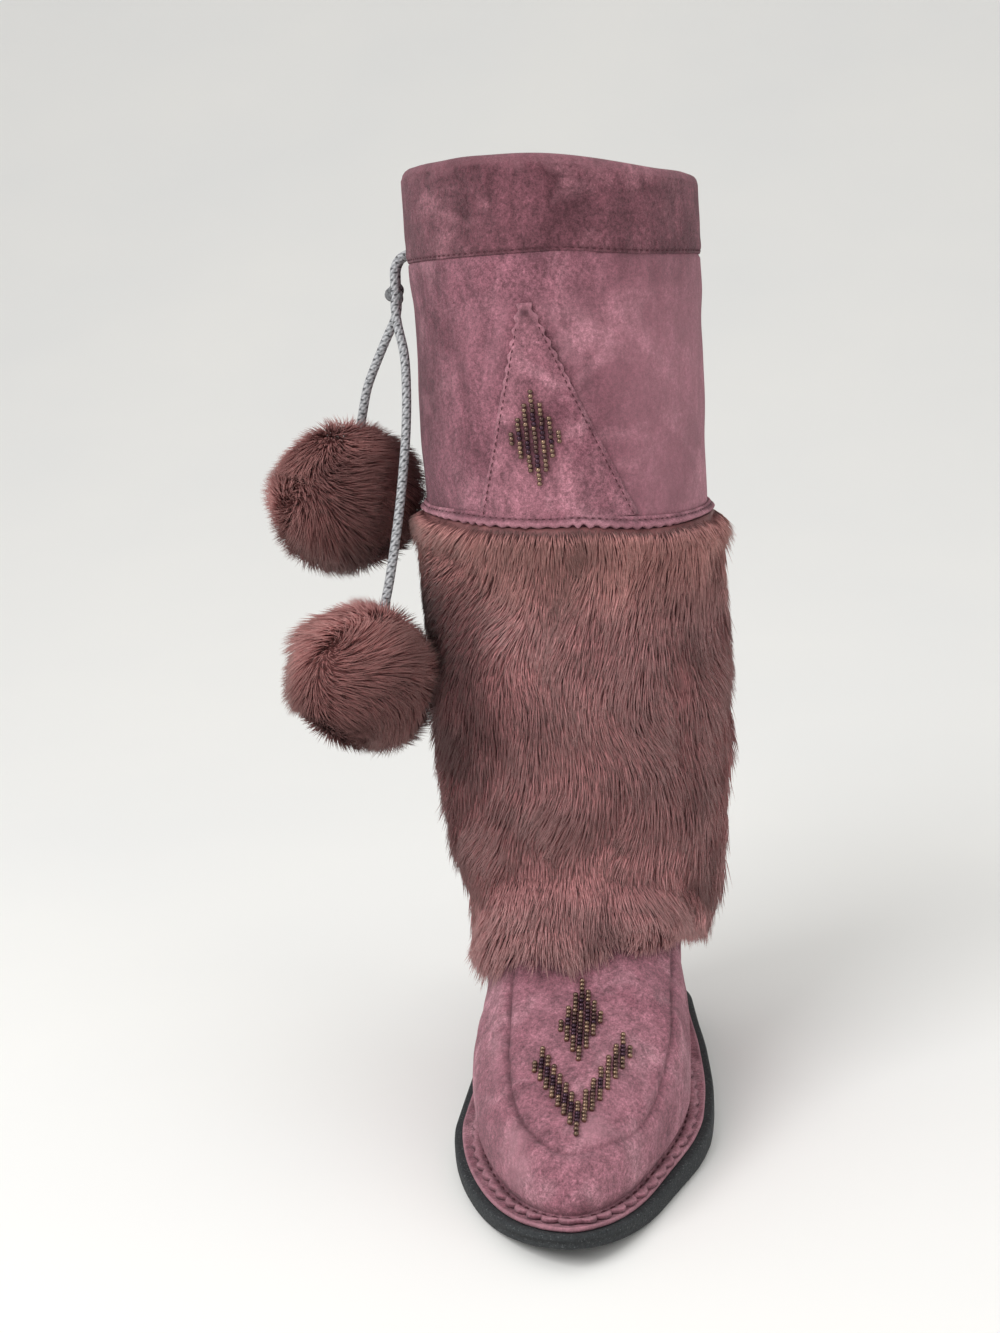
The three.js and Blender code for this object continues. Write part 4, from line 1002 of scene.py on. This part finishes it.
# soft ridges fan out beside the gusset's upper half and fade away from it, with a painted highlight along
# them
upShare = (wall[..., 2] - 254) / 82
legOut = np.abs(wall[..., 0] - gussetMiddle(upShare)) - gussetHalf(upShare)
fan = smooth(upShare, 0.45, 0.8) * (1 - smooth(upShare, 0.95, 1.08)) * (wall[..., 1] < 40)
ridge = np.exp(-((legOut - 5) / 3.4) ** 2) + 0.6 * np.exp(-((legOut - 17) / 5.0) ** 2)
soft *= smooth(wall[..., 2], 252, 275) * (1 - smooth(wall[..., 2], 335, 350))
wall = wall + outward(wall) * (soft + 0.75 * fan * ridge + pressed)[..., None]
inside = onBoot(*np.meshgrid(shaftTurns, shaftRises[::-8]), -boot["wallInside"])
shaftShell = np.concatenate([wall, inside])
shaftFaces = gridFaces(shaftShell.shape[0], shaftLook["around"], True, True)
shade, wornAndLit = np.zeros(shaftShell.shape[:2]), np.zeros(shaftShell.shape[:2])
shade[:len(wall)] = 0.35 * np.exp(-((fromCuff + 0.1) / 0.5) ** 2)
shade[:len(wall)] += 0.22 * smooth(-wall[..., 0], 12, 56)
# painted highlight along the fanned ridges
wornAndLit[:len(wall)] = 0.3 * fan * ridge
# painted light: the right side paler, less so toward the cuff
wornAndLit[:len(wall)] += 0.55 * smooth(wall[..., 0], -5, 45) * (1 - 0.4 * smooth(wall[..., 2], 320, 352))
makePiece("shaft_suede", shaftShell, shaftFaces, shaftSuede, ["upper"],
          fields={"wornAndLit": wornAndLit, "shade": shade}, flip=enclosed(shaftShell, shaftFaces) < 0)

# gusset
rows, columns = gusset["rows"], gusset["columns"]
t = np.linspace(0, 1, rows)[:, None]
s = np.linspace(-1, 1, columns)[None, :]
gussetTall = gusset["apexUp"] - gusset["baseUp"]
pinkFade = smooth(t, 0.45, 0.9)
legLength = 1.06 * gussetTall
pink = gusset["pinkDeep"] * np.sin(t * legLength / gusset["pinkPitch"] * 2 * np.pi) * pinkFade
half = gussetHalf(t)
x = gussetMiddle(t) + s * (half + pink * np.abs(s) ** 6)
up = np.broadcast_to(gusset["baseUp"] + gussetTall * t, x.shape)
bump = 2.3 * np.exp(-((t - 0.955) / 0.035) ** 2) * np.exp(-(s / 0.9) ** 2)
edgeDrop = (0.85 + 0.35 * (1 - pinkFade)) * np.abs(s) ** 10
thick = (gusset["face"] - edgeDrop) * (0.72 + 0.28 * smooth(t, 0.02, 0.12)) + bump
top = frontOfShaft(x, up, thick + 0.12 * wander(frontOfShaft(x, up), 24, 31))
under = frontOfShaft(x, up, gusset["under"])
gussetShell = np.concatenate([top, under[::-1]])
# closed all round: the two sheets share their sides through narrow end quads
gussetFaces = gridFaces(rows * 2, columns, True, False)
left = np.arange(rows - 1)
sideQuads = []
for column in (0, columns - 1):
    a, b = left * columns + column, (left + 1) * columns + column
    c, d = (2 * rows - 2 - left) * columns + column, (2 * rows - 1 - left) * columns + column
    quad = np.stack([a, b, c, d], -1)
    sideQuads.append(quad if column == 0 else quad[:, ::-1])
gussetFaces = np.vstack([gussetFaces] + sideQuads)
shade = np.zeros((2 * rows, columns))
wornAndLit = np.zeros((2 * rows, columns))
# painted highlight on the pinked edges and on the rim of the apex bump
paleEdge = np.abs(s) ** 14 * pinkFade
wornAndLit[:rows] = 0.8 * paleEdge + 0.5 * np.exp(-((t - 0.955) / 0.05) ** 2) * np.abs(s) ** 2
shade[:rows] = 0.8 * np.exp(-((t - 0.955) / 0.02) ** 2) * np.exp(-(s / 0.5) ** 2)
shade[:rows] += 0.25 * np.exp(-((1 - np.abs(s)) * half - 2.6) ** 2 / 0.8) * (0.4 + 0.6 * pinkFade)
makePiece("gusset_suede", gussetShell, gussetFaces, gussetSuede, ["gusset"],
          fields={"wornAndLit": np.clip(wornAndLit, 0, 1), "shade": np.clip(shade, 0, 1)},
          flip=enclosed(gussetShell, gussetFaces) < 0)
legStarts, legEnds, legNormals = [], [], []
for side in (-1, 1):
    share = np.linspace(0.0, 0.93, 160)
    legHalf = gussetHalf(share) - 2.6 + 1.6 * share
    legX = gussetMiddle(share) + side * np.maximum(0.4, legHalf)
    legUp = gusset["baseUp"] + gussetTall * share
    leg = frontOfShaft(legX, legUp, gusset["face"] + 0.05)
    for group, part in zip((legStarts, legEnds, legNormals), stitchLine(leg, outward(leg), 2.8, 0.58)):
        group.append(part)
makeStitches("gusset_stitches", np.vstack(legStarts), np.vstack(legEnds), np.vstack(legNormals), 0.5,
             thread)

# fur trim
trimLook = dict(
    around=660, wavePitch=5.0, low=3.0, frontMore=1.2, full=4.8,
    # out from the skin, and height, from the foot of the roll to its top edge
    profile=[(0.3, 0.0), (1.4, -0.55), (2.4, -0.35), (3.0, 0.5), (2.9, 1.5), (2.2, 2.3), (1.6, 2.8),
             (1.5, 3.4), (1.4, 4.1), (0.9, 4.75), (0.3, 4.8)],
)
trimTurns = np.linspace(0, 1, trimLook["around"], endpoint=False)
line = onBoot(trimTurns, riseAt(seamAt(trimTurns)), 2)
way = np.r_[0, np.cumsum(np.linalg.norm(np.diff(line, axis=0), axis=1))]
front = smooth(-np.cos(trimTurns * 2 * np.pi), 0.3, 0.75)
wave = np.sin(way / trimLook["wavePitch"] * 2 * np.pi + 1.3 * wander(line, 25, 41)) * front
wave = wave * (0.75 + 0.35 * wander(line, 14, 43))
tall = trimLook["low"] + trimLook["frontMore"] * front
trimRows = []
for out, rise in trimLook["profile"]:
    drop = (0.55 * wave - 0.2 * front) * (1 - rise / 3.2) * (rise < 3.2)
    upRow = seamAt(trimTurns) + boot["gap"] + rise / trimLook["full"] * tall + 0.4 + drop
    trimRows.append(onBoot(trimTurns, riseAt(upRow), out + 0.12 * wander(line, 9, 42)))
trimRows = np.stack(trimRows)
trimFaces = gridFaces(len(trimRows), trimLook["around"], True, True)
shade = np.zeros(trimRows.shape[:2])
shade[5:8] = np.array([0.25, 0.6, 0.4])[:, None]
wornAndLit = np.zeros(trimRows.shape[:2])
wornAndLit[1:5] = np.array([0.3, 0.6, 0.75, 0.4])[:, None]
makePiece("trim_suede", trimRows, trimFaces, gussetSuede, ["fur_trim"],
          fields={"wornAndLit": wornAndLit, "shade": shade}, flip=enclosed(trimRows, trimFaces) < 0)
closing = np.r_[trimTurns, 1.0]
grooveUp = 3.1 / trimLook["full"] * np.r_[tall, tall[0]]
stitchPath = onBoot(closing, riseAt(seamAt(closing) + 0.7 + grooveUp), 1.6)
starts, ends, normals = stitchLine(stitchPath, outward(stitchPath), 2.8, 0.58)
makeStitches("trim_stitches", starts, ends, normals, 0.5, thread)
print("shaft, gusset and trim ready")

# cuff
cuffLook = dict(around=260, faceRows=48, foldRows=9, face=1.9, innerFace=-4.5, slitSide=63.0, slitUp=359.2)
cuffTurns = np.linspace(0, 1, cuffLook["around"], endpoint=False)
collar = collarAt(cuffTurns)
collarRise = riseAt(collar)
heights = np.linspace(0, 1, cuffLook["faceRows"]) ** 1.15
cuffLow = cuffAt(cuffTurns)
faceRows = []
for share in heights:
    up = cuffLow + (collar - 2.0 - cuffLow) * share
    faceRows.append(onBoot(cuffTurns, riseAt(up), cuffLook["face"]))
faceRows = np.stack(faceRows)
soft = 0.5 * wander(faceRows, 70, 51) + 0.2 * wander(faceRows, 24, 52)
overSeam = faceRows[..., 2] - cuffLow
roll = -0.55 * np.exp(-((overSeam - 1.2) / 0.7) ** 2) + 0.12 * np.exp(-((overSeam - 4) / 2.0) ** 2)
roll -= 0.7 * (1 - smooth(overSeam, 0, 0.6))
pucker = 0.16 * np.sin(cuffTurns * 118 * 2 * np.pi)[None] * np.exp(-((overSeam - 3) / 2.5) ** 2)
slit = np.exp(-(((faceRows[..., 1] - cuffLook["slitSide"]) / 5.4) ** 4
                + ((faceRows[..., 2] - cuffLook["slitUp"]) / 3.2) ** 4)) * (faceRows[..., 0] < 0)
faceRows = faceRows + outward(faceRows) * (soft * smooth(faceRows[..., 2], 358, 366) + roll + pucker
                                           - 1.5 * slit)[..., None]
foldRows = []
for angle in np.linspace(0.15, math.pi - 0.15, cuffLook["foldRows"]):
    out = -1.3 + 3.2 * math.cos(angle)
    lift = -2.0 + 3.9 * math.sin(angle) ** 0.8
    row = onBoot(cuffTurns, collarRise, out)
    row[:, 2] = collar + lift + 0.25 * wander(row, 30, 53)
    foldRows.append(row)
innerRows = []
for share in (1.0, 0.66, 0.33, 0.0):
    up = cuffLow + (collar - 2.0 - cuffLow) * share
    innerRows.append(onBoot(cuffTurns, riseAt(up), cuffLook["innerFace"] + 0.3 * np.sin(share * math.pi)))
backRows = [onBoot(cuffTurns, riseAt(cuffLow), -2.9),
            onBoot(cuffTurns, riseAt(collar - 3), -2.9), onBoot(cuffTurns, riseAt(collar - 3), 0.3),
            onBoot(cuffTurns, riseAt(cuffLow + 0.2), 0.3)]
cuffShell = np.concatenate([faceRows, np.stack(foldRows), np.stack(innerRows), np.stack(backRows)])
cuffFaces = gridFaces(len(cuffShell), cuffLook["around"], True, True)
shade, wornAndLit = np.zeros(cuffShell.shape[:2]), np.zeros(cuffShell.shape[:2])
foldFrom = cuffLook["faceRows"]
shade[:foldFrom] = np.clip(0.95 * slit + 0.35 * np.exp(-((overSeam - 1.2) / 0.7) ** 2), 0, 1)
fromTop = collar[None] - faceRows[..., 2]
wornAndLit[:foldFrom] = 0.5 * (1 - smooth(fromTop, 1, 7)) * smooth(wander(faceRows, 14, 54), -0.5, 0.9)
wornAndLit[foldFrom:foldFrom + cuffLook["foldRows"]] = 0.4
makePiece("cuff_suede", cuffShell, cuffFaces, cuffSuede, ["cuff"],
          fields={"wornAndLit": wornAndLit, "shade": shade}, flip=enclosed(cuffShell, cuffFaces) < 0)
closing = np.r_[cuffTurns, 1.0]
stitchPath = onBoot(closing, riseAt(cuffAt(closing) + 1.2), 1.55)
starts, ends, normals = stitchLine(stitchPath, outward(stitchPath), 2.9, 0.62)
makeStitches("cuff_stitches", starts, ends, normals, 0.6, thread)

# plush lining
lining = dict(around=120, rows=50, low=0.03, topUp=358.0, face=-3.6, back=-2.3)
liningTurns = np.linspace(0, 1, lining["around"], endpoint=False)
liningRises = np.linspace(lining["low"], riseAt(lining["topUp"]), lining["rows"])
turnGrid, riseGrid = np.meshgrid(liningTurns, liningRises)
skin = onBoot(turnGrid, riseGrid, lining["face"])
skin = skin + outward(skin) * (0.35 * wander(skin, 9, 61) + 0.3 * wander(skin, 20, 62))[..., None]
backing = onBoot(*np.meshgrid(liningTurns, liningRises[::-6]), lining["back"])
liningShell = np.concatenate([skin, backing])
liningFaces = gridFaces(len(liningShell), lining["around"], True, True)
makePiece("plush_lining", liningShell, liningFaces, pile, [],
          flip=enclosed(liningShell, liningFaces) < 0)
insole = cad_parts["insole"]
insole.data.materials.clear()
insole.data.materials.append(pile)
print("cuff and lining ready")

# beadwork
beads = dict(radius=1.1, halfLength=0.82, sides=10, pitch=1.8, shaftPitch=3.0, footPitch=2.45, slope=0.93,
             skew=0.24, lean=0.02, shaftLean=0.045, shaftMiddle=(-6.5, 284.0), shaftOut=2.8, footOut=2.75)
goldGlaze, bronzeGlaze, plumGlaze = np.array([[0.29, 0.19, 0.12], [0.12, 0.07, 0.05], [0.06, 0.03, 0.04]])


# rounded ring seen from its side: five stations whose radius swells as a superellipse
def makeBeads(name, centres, axes, glazes, stands):
    stations = np.array([-1, -0.72, 0, 0.72, 1]) * beads["halfLength"]
    radius = np.array([0.5, 0.845, 1, 0.845, 0.5]) * beads["radius"]
    count, sides = len(centres), beads["sides"]
    side = np.cross(axes, (0.9, 0.1, 0.2))
    side /= np.linalg.norm(side, axis=1, keepdims=True)
    lift = np.cross(axes, side)
    angle = np.arange(sides) * 2 * math.pi / sides
    ring = (side[:, None, None] * np.cos(angle)[None, None, :, None]
            + lift[:, None, None] * np.sin(angle)[None, None, :, None])
    points = (centres[:, None, None] + axes[:, None, None] * stations[None, :, None, None]
              + ring * radius[None, :, None, None])
    shell = gridFaces(5, sides, False, True)
    if enclosed(points[0], shell) < 0:
        shell = shell[:, ::-1]
    caps = [np.arange(sides)[::-1], np.arange(sides) + 4 * sides]
    quads = (np.arange(count)[:, None, None] * 5 * sides + shell[None]).reshape(-1, 4)
    ends = (np.arange(count)[:, None, None] * 5 * sides + np.stack(caps)[None]).reshape(-1, sides)
    colour = np.repeat(glazes, 5 * sides, axis=0)
    return makePiece(name, points, [quads, ends], beadGlass, stands, colours={"glaze": colour})


# a chart of beads as two lists, column and place along it: each column has a start and a count
def beadChart(columns, start, count):
    a = np.concatenate([np.full(count(c), c) for c in columns])
    b = np.concatenate([start(c) + np.arange(count(c)) for c in columns])
    return a, b


# blocks of three along a column take gold, plum and bronze in turn, and its ends are gold
def glazeOf(a, b, ends, dice):
    block = (b // 3).astype(int)
    mood = (block + a.astype(int)) % 3
    others = np.where((mood == 1)[:, None], plumGlaze, bronzeGlaze)
    glaze = np.where((mood == 0)[:, None], goldGlaze, others)
    glaze = np.where(ends[:, None], goldGlaze * 0.9, glaze)
    return np.clip(glaze * dice.uniform(0.6, 1.3, (len(a), 1)), 0, 1)


dice = np.random.default_rng(71)
a, b = beadChart(range(-3, 4), lambda c: -(21 - 6 * abs(c)) / 2 + 0.5, lambda c: 21 - 6 * abs(c))
ends = np.abs(b) > (21 - 6 * np.abs(a)) / 2 - 3


def shaftSpotsAt(a, way):
    x = beads["shaftMiddle"][0] + a * beads["shaftPitch"] - beads["shaftLean"] * way
    return frontOfShaft(x, beads["shaftMiddle"][1] + way, beads["shaftOut"])


shaftSpots = shaftSpotsAt(a, b * beads["pitch"])
shaftAxes = shaftSpotsAt(a, b * beads["pitch"] + 1) - shaftSpots
shaftAxes /= np.linalg.norm(shaftAxes, axis=1, keepdims=True)
makeBeads("beads_shaft", shaftSpots + dice.normal(0, 0.07, shaftSpots.shape), shaftAxes,
          glazeOf(a, b, ends, dice), ["beadwork_shaft"])


def footBeads(name, a, b, ends, middle, stands):
    bWay = b * beads["pitch"]
    across = a * beads["footPitch"]
    x = middle[0] + across + beads["lean"] * bWay
    behind = middle[1] + beads["slope"] * bWay + beads["skew"] * across
    spots = overFoot(x, behind, beads["footOut"])
    axes = overFoot(x + beads["lean"], behind + beads["slope"], beads["footOut"]) - spots
    axes /= np.linalg.norm(axes, axis=1, keepdims=True)
    makeBeads(name, spots + dice.normal(0, 0.06, spots.shape), axes, glazeOf(a, b, ends, dice), stands)


footBeads("beads_diamond", a, b, ends, (1.6, 82.1), ["beadwork_diamond"])
a, b = beadChart(range(-7, 8), lambda c: 3.0 * abs(c), lambda c: 9 if abs(c) < 7 else 3)
start = 3 * np.abs(a)
ends = (b - start < 3) | (b - start > 5)
footBeads("beads_chevron", a, b, ends, (1.5, 31.3), ["beadwork_chevron"])
print("beadwork ready")

# fur sleeve
furLook = dict(
    deep=[(0.3, 7), (0.34, 9.5), (0.38, 11.5), (0.44, 13.2), (0.5, 13.6), (0.56, 12.3), (0.62, 10),
          (0.68, 7.5), (0.74, 6), (0.8, 5.8)],
    strands=74000, parts=3, width=0.48, cells=(42, 24), innerFullness=0.5, rows=72, columns=160,
    root=(0.26, 0.106, 0.107), dark=(0.19, 0.074, 0.075), middle=(0.44, 0.192, 0.194),
    tip=(0.68, 0.41, 0.4), warm=(0.58, 0.275, 0.22),
)


# the hem's ring number: lowest in front and on the outer side, with a jagged edge of two sine waves
def hemAt(turn):
    jag = 0.006 * np.sin(turn * 2 * np.pi * 9 + 1.0) + 0.004 * np.sin(turn * 2 * np.pi * 23)
    slant = 0.012 * np.sin(turn * 2 * np.pi)
    return 0.352 + 0.02 * (0.5 + 0.5 * np.cos(turn * 2 * np.pi)) + jag + slant


# the fur's depth at a ring, fuller toward the inner side
def furDeep(turn, rise):
    inner = smooth(np.sin(turn * 2 * np.pi), 0.2, 1)
    return through(furLook["deep"], 1, rise) * (1 + furLook["innerFullness"] * inner)


# how far up the fur's depth the undercoat ends and the strands start
def rootLevel(skin):
    return 0.46 + 0.05 * wander(skin, 22, 81) + 0.03 * wander(skin, 9, 82)


rows, columns = furLook["rows"], furLook["columns"]
coatTurns = np.linspace(0, 1, columns, endpoint=False)
share = np.linspace(0, 1, rows)[:, None]
hem, topRise = hemAt(coatTurns)[None], riseAt(seamAt(coatTurns) - 0.3)[None]
coatRise = hem + (topRise - hem) * share
turnGrid = np.broadcast_to(coatTurns[None], coatRise.shape)
skin = onBoot(turnGrid, coatRise)
level = rootLevel(skin)
hemEnd = smooth(share, 0, 0.05) ** 0.5
topEnd = smooth(1 - share, 0, 0.025)
coatOut = bandOut(coatRise) + 0.3 + furDeep(turnGrid, coatRise) * level * hemEnd * (0.5 + 0.5 * topEnd)
coat = onBoot(turnGrid, coatRise, coatOut)
underShare = np.linspace(1, 0, 12)[:, None]
underRise = hem + (topRise - hem) * underShare
under = onBoot(np.broadcast_to(coatTurns[None], underRise.shape), underRise, bandOut(underRise) + 0.25)
coatShell = np.concatenate([coat, under])
coatFaces = gridFaces(len(coatShell), columns, True, True)
coatTone = np.tile(np.array(furLook["dark"]), (coatShell.shape[0] * columns, 1))
coatTone *= (1 + 0.25 * wander(coatShell, 7, 83).reshape(-1, 1))
makePiece("fur_undercoat", coatShell, coatFaces, furHair, ["fur_sleeve"],
          colours={"hairColour": coatTone}, flip=enclosed(coatShell, coatFaces) < 0)

dice = np.random.default_rng(91)
count = furLook["strands"]
turn = (np.arange(count) * 0.618034) % 1 + dice.normal(0, 0.002, count)
spot = np.clip((np.arange(count) + dice.uniform(0, 1, count)) / count, 0.002, 0.999)
edge = dice.uniform(0, 1, count) < 0.07  # a denser brim of hair right under the trim and at the hem
spot[edge] = np.where(dice.uniform(0, 1, count) < 0.6, dice.uniform(0.965, 1.0, count),
                      dice.uniform(0.0, 0.04, count))[edge]
hem, topRise = hemAt(turn), riseAt(seamAt(turn) - 0.3)
rise = hem + (topRise - hem) * spot
skin = onBoot(turn, rise)
normal = outward(skin)
level = rootLevel(skin)
ends = smooth(spot, 0, 0.05) ** 0.5 * (0.5 + 0.5 * smooth(1 - spot, 0, 0.025))
deep = furDeep(turn, rise)
rootOut = bandOut(rise) + 0.3 + deep * level * ends - 0.6
roots = skin + normal * rootOut[:, None]
down = onBoot(turn, rise - 0.004) - skin
down /= np.linalg.norm(down, axis=1, keepdims=True)
around = np.cross(normal, down)
around /= np.linalg.norm(around, axis=1, keepdims=True)
lean = onBoot(turn + 0.002, rise) - skin
around *= np.sign((around * lean).sum(1, keepdims=True))  # toward growing turn
leftShare = smooth(-skin[:, 0], -30, 45) * smooth(skin[:, 2], 90, 200)
swirl = 0.08 + 0.45 * leftShare + 0.42 * wander(skin, 62, 84) + 0.2 * wander(skin, 26, 85)
aim = down * np.cos(swirl)[:, None] + around * np.sin(swirl)[:, None]
stand = 0.26 + 0.12 * wander(skin, 34, 86) + 0.05 * wander(skin, 12, 87) + 0.55 * smooth(spot, 0.965, 0.995)
long = dice.uniform(11.0, 19.0, count) * (0.8 + 0.2 * smooth(deep, 5, 11))
# the hem is shorter on the inner side
long *= 1 - 0.45 * smooth(skin[:, 0], -25, 35) * smooth(0.12 - spot, 0, 0.1)
long *= 0.85 + 0.15 * smooth(1 - spot, 0.0, 0.06)
reach = aim * np.cos(stand)[:, None] + normal * np.sin(stand)[:, None]
reach += dice.normal(0, 0.075, (count, 3))
tips = roots + reach * long[:, None]

# tufts: strands of one cell of a warped grid draw together at their tips
warpTurn = turn * furLook["cells"][0] + 0.7 * wander(skin, 17, 88)
warpSpot = spot * furLook["cells"][1] + 0.7 * wander(skin, 17, 89)
cell = (np.floor(warpTurn).astype(int) % furLook["cells"][0]) * 1000 + np.floor(warpSpot).astype(int) + 5
names, member = np.unique(cell, return_inverse=True)
sums = np.stack([np.bincount(member, tips[:, i]) for i in range(3)], -1)
heart = sums / np.bincount(member)[:, None]
pull = dice.uniform(0.0, 0.34, (count, 1)) * (0.6 + 0.4 * wander(skin, 18, 97))[:, None]
tips += (heart[member] - tips) * pull
# no tip goes past the fur's own depth, or under the skin
over = np.maximum(0.6, deep * 1.06 + bandOut(rise))
height = ((tips - skin) * normal).sum(1)
wild = dice.uniform(0, 1, count) > 0.93
brim = smooth(spot, 0.955, 0.99)
limit = over + np.where(wild, 2.5, 0.4) + 2.2 * brim
tips += normal * (np.clip(height, 1.2, limit) - height)[:, None]
bends = roots + (tips - roots) * 0.42 + normal * (0.9 + 0.5 * dice.uniform(0, 1, count))[:, None]

clumpTone = dice.uniform(0.95, 1.05, len(names))[member]
broad = wander(skin, 75, 92) * 0.13 + wander(skin, 24, 93) * 0.12
# painted shade over the left side of the sleeve, from about 80 to 242 mm up, also shifting its hue
leftShade = smooth(-skin[:, 0], 12, 42) * smooth(skin[:, 2], 80, 140) * (1 - smooth(skin[:, 2], 215, 242))
broad -= 0.52 * leftShade
tone = 0.95 + broad + 0.22 * (1 - smooth(skin[:, 2], 62, 120))
tone *= clumpTone * dice.uniform(0.84, 1.16, count)
# painted shade along wavy partings in the fur
partingShade = np.exp(-(np.sin(skin[:, 0] / 13.0 + 1.3 * wander(skin, 60, 94)) / 0.16) ** 2)
partingShade *= smooth(wander(skin, 34, 95), 0.15, 0.8)
tone *= 1 - 0.3 * partingShade
# under the trim the strands are warmer, their tips more than their middles
warmShare = (smooth(spot, 0.8, 0.97) * 0.5)[:, None]
warm = np.array(furLook["warm"])
tipColour = np.array(furLook["tip"]) * (1 - warmShare) + warm * warmShare
middleColour = np.array(furLook["middle"]) * (1 - 0.6 * warmShare) + warm * 0.8 * 0.6 * warmShare
tone = np.clip(tone, 0.3, 1.6)[:, None] * (1 - leftShade[:, None] * np.array([0, 0.16, 0.14]))
order = np.argsort(turn)
for part in range(furLook["parts"]):
    chosen = order[part * count // furLook["parts"]:(part + 1) * count // furLook["parts"]]
    makeHair("fur_hair_%d" % (part + 1), roots[chosen], bends[chosen], tips[chosen],
             furLook["width"], np.array(furLook["root"]) * tone[chosen],
             middleColour[chosen] * tone[chosen], tipColour[chosen] * tone[chosen], ["fur_sleeve"])
print("fur ready")

# floor, backdrop and light
studio = dict(floorTone=(0.9, 0.895, 0.875, 1), world=0.66, key=24.0, fill=5.0, top=2.0)
floorMaterial, floorTree, floorShader, floorPlace = newMaterial("paleFloor", **{"Roughness": 0.9})
floorNoise = rampOf(floorTree, noiseOf(floorTree, floorPlace, 3, 2), 0.3, 0.7)
mottle(floorTree, floorShader, floorNoise, (0.87, 0.87, 0.86, 1), studio["floorTone"])
# sweep: flat, then a quarter circle of 3 m, then upright
angle = np.linspace(0, math.pi / 2, 60)
sweepY = np.r_[-4.0, 0.5, 0.5 + 3.0 * np.sin(angle[1:]), 3.5]
sweepZ = np.r_[0, 0, 3.0 - 3.0 * np.cos(angle[1:]), 6.0]
sweep = np.stack([np.stack([np.full(len(sweepY), side), sweepY, sweepZ], -1) for side in (-7.0, 7.0)])
floorMesh = bpy.data.meshes.new("floor")
floorMesh.from_pydata(sweep.reshape(-1, 3).tolist(), [], gridFaces(2, len(sweepY)).tolist())
floorMesh.polygons.foreach_set("use_smooth", np.full(len(floorMesh.polygons), True))
floorMesh.materials.append(floorMaterial)
floor = bpy.data.objects.new("floor", floorMesh)
bpy.context.collection.objects.link(floor)
floor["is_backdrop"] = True

world = bpy.data.worlds.new("studio")
bpy.context.scene.world = world
world.use_nodes = True
world.node_tree.nodes["Background"].inputs["Color"].default_value = (1.0, 0.995, 0.98, 1)
world.node_tree.nodes["Background"].inputs["Strength"].default_value = studio["world"]


# a square area light at a place, turned toward an aim
def makeLight(name, place, aim, size, power):
    lamp = bpy.data.lights.new(name, "AREA")
    lamp.shape = "SQUARE"
    lamp.size = size
    lamp.energy = power
    light = bpy.data.objects.new(name, lamp)
    bpy.context.collection.objects.link(light)
    direction = np.array(aim, float) - np.array(place, float)
    direction /= np.linalg.norm(direction)
    sideways = np.cross(direction, (0, 0, 1))
    sideways /= np.linalg.norm(sideways)
    raised = np.cross(sideways, direction)
    light.matrix_world = Matrix([[sideways[i], raised[i], -direction[i], place[i]] for i in range(3)]
                                + [[0, 0, 0, 1]])


makeLight("key", (-0.9, -1.1, 1.5), (0, 0, 0.2), 1.2, studio["key"])
makeLight("fill", (1.3, -1.0, 0.9), (0, 0, 0.2), 1.4, studio["fill"])
makeLight("overhead", (0.1, 0.1, 1.7), (0, 0, 0.1), 1.5, studio["top"])
bpy.context.scene.view_settings.view_transform = "Standard"

shownBox = [list(corner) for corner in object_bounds()]
for label, box in (("cad", cadBox), ("shown", shownBox)):
    print("size", label, [round(1000 * (high - low), 1) for low, high in zip(*box)])
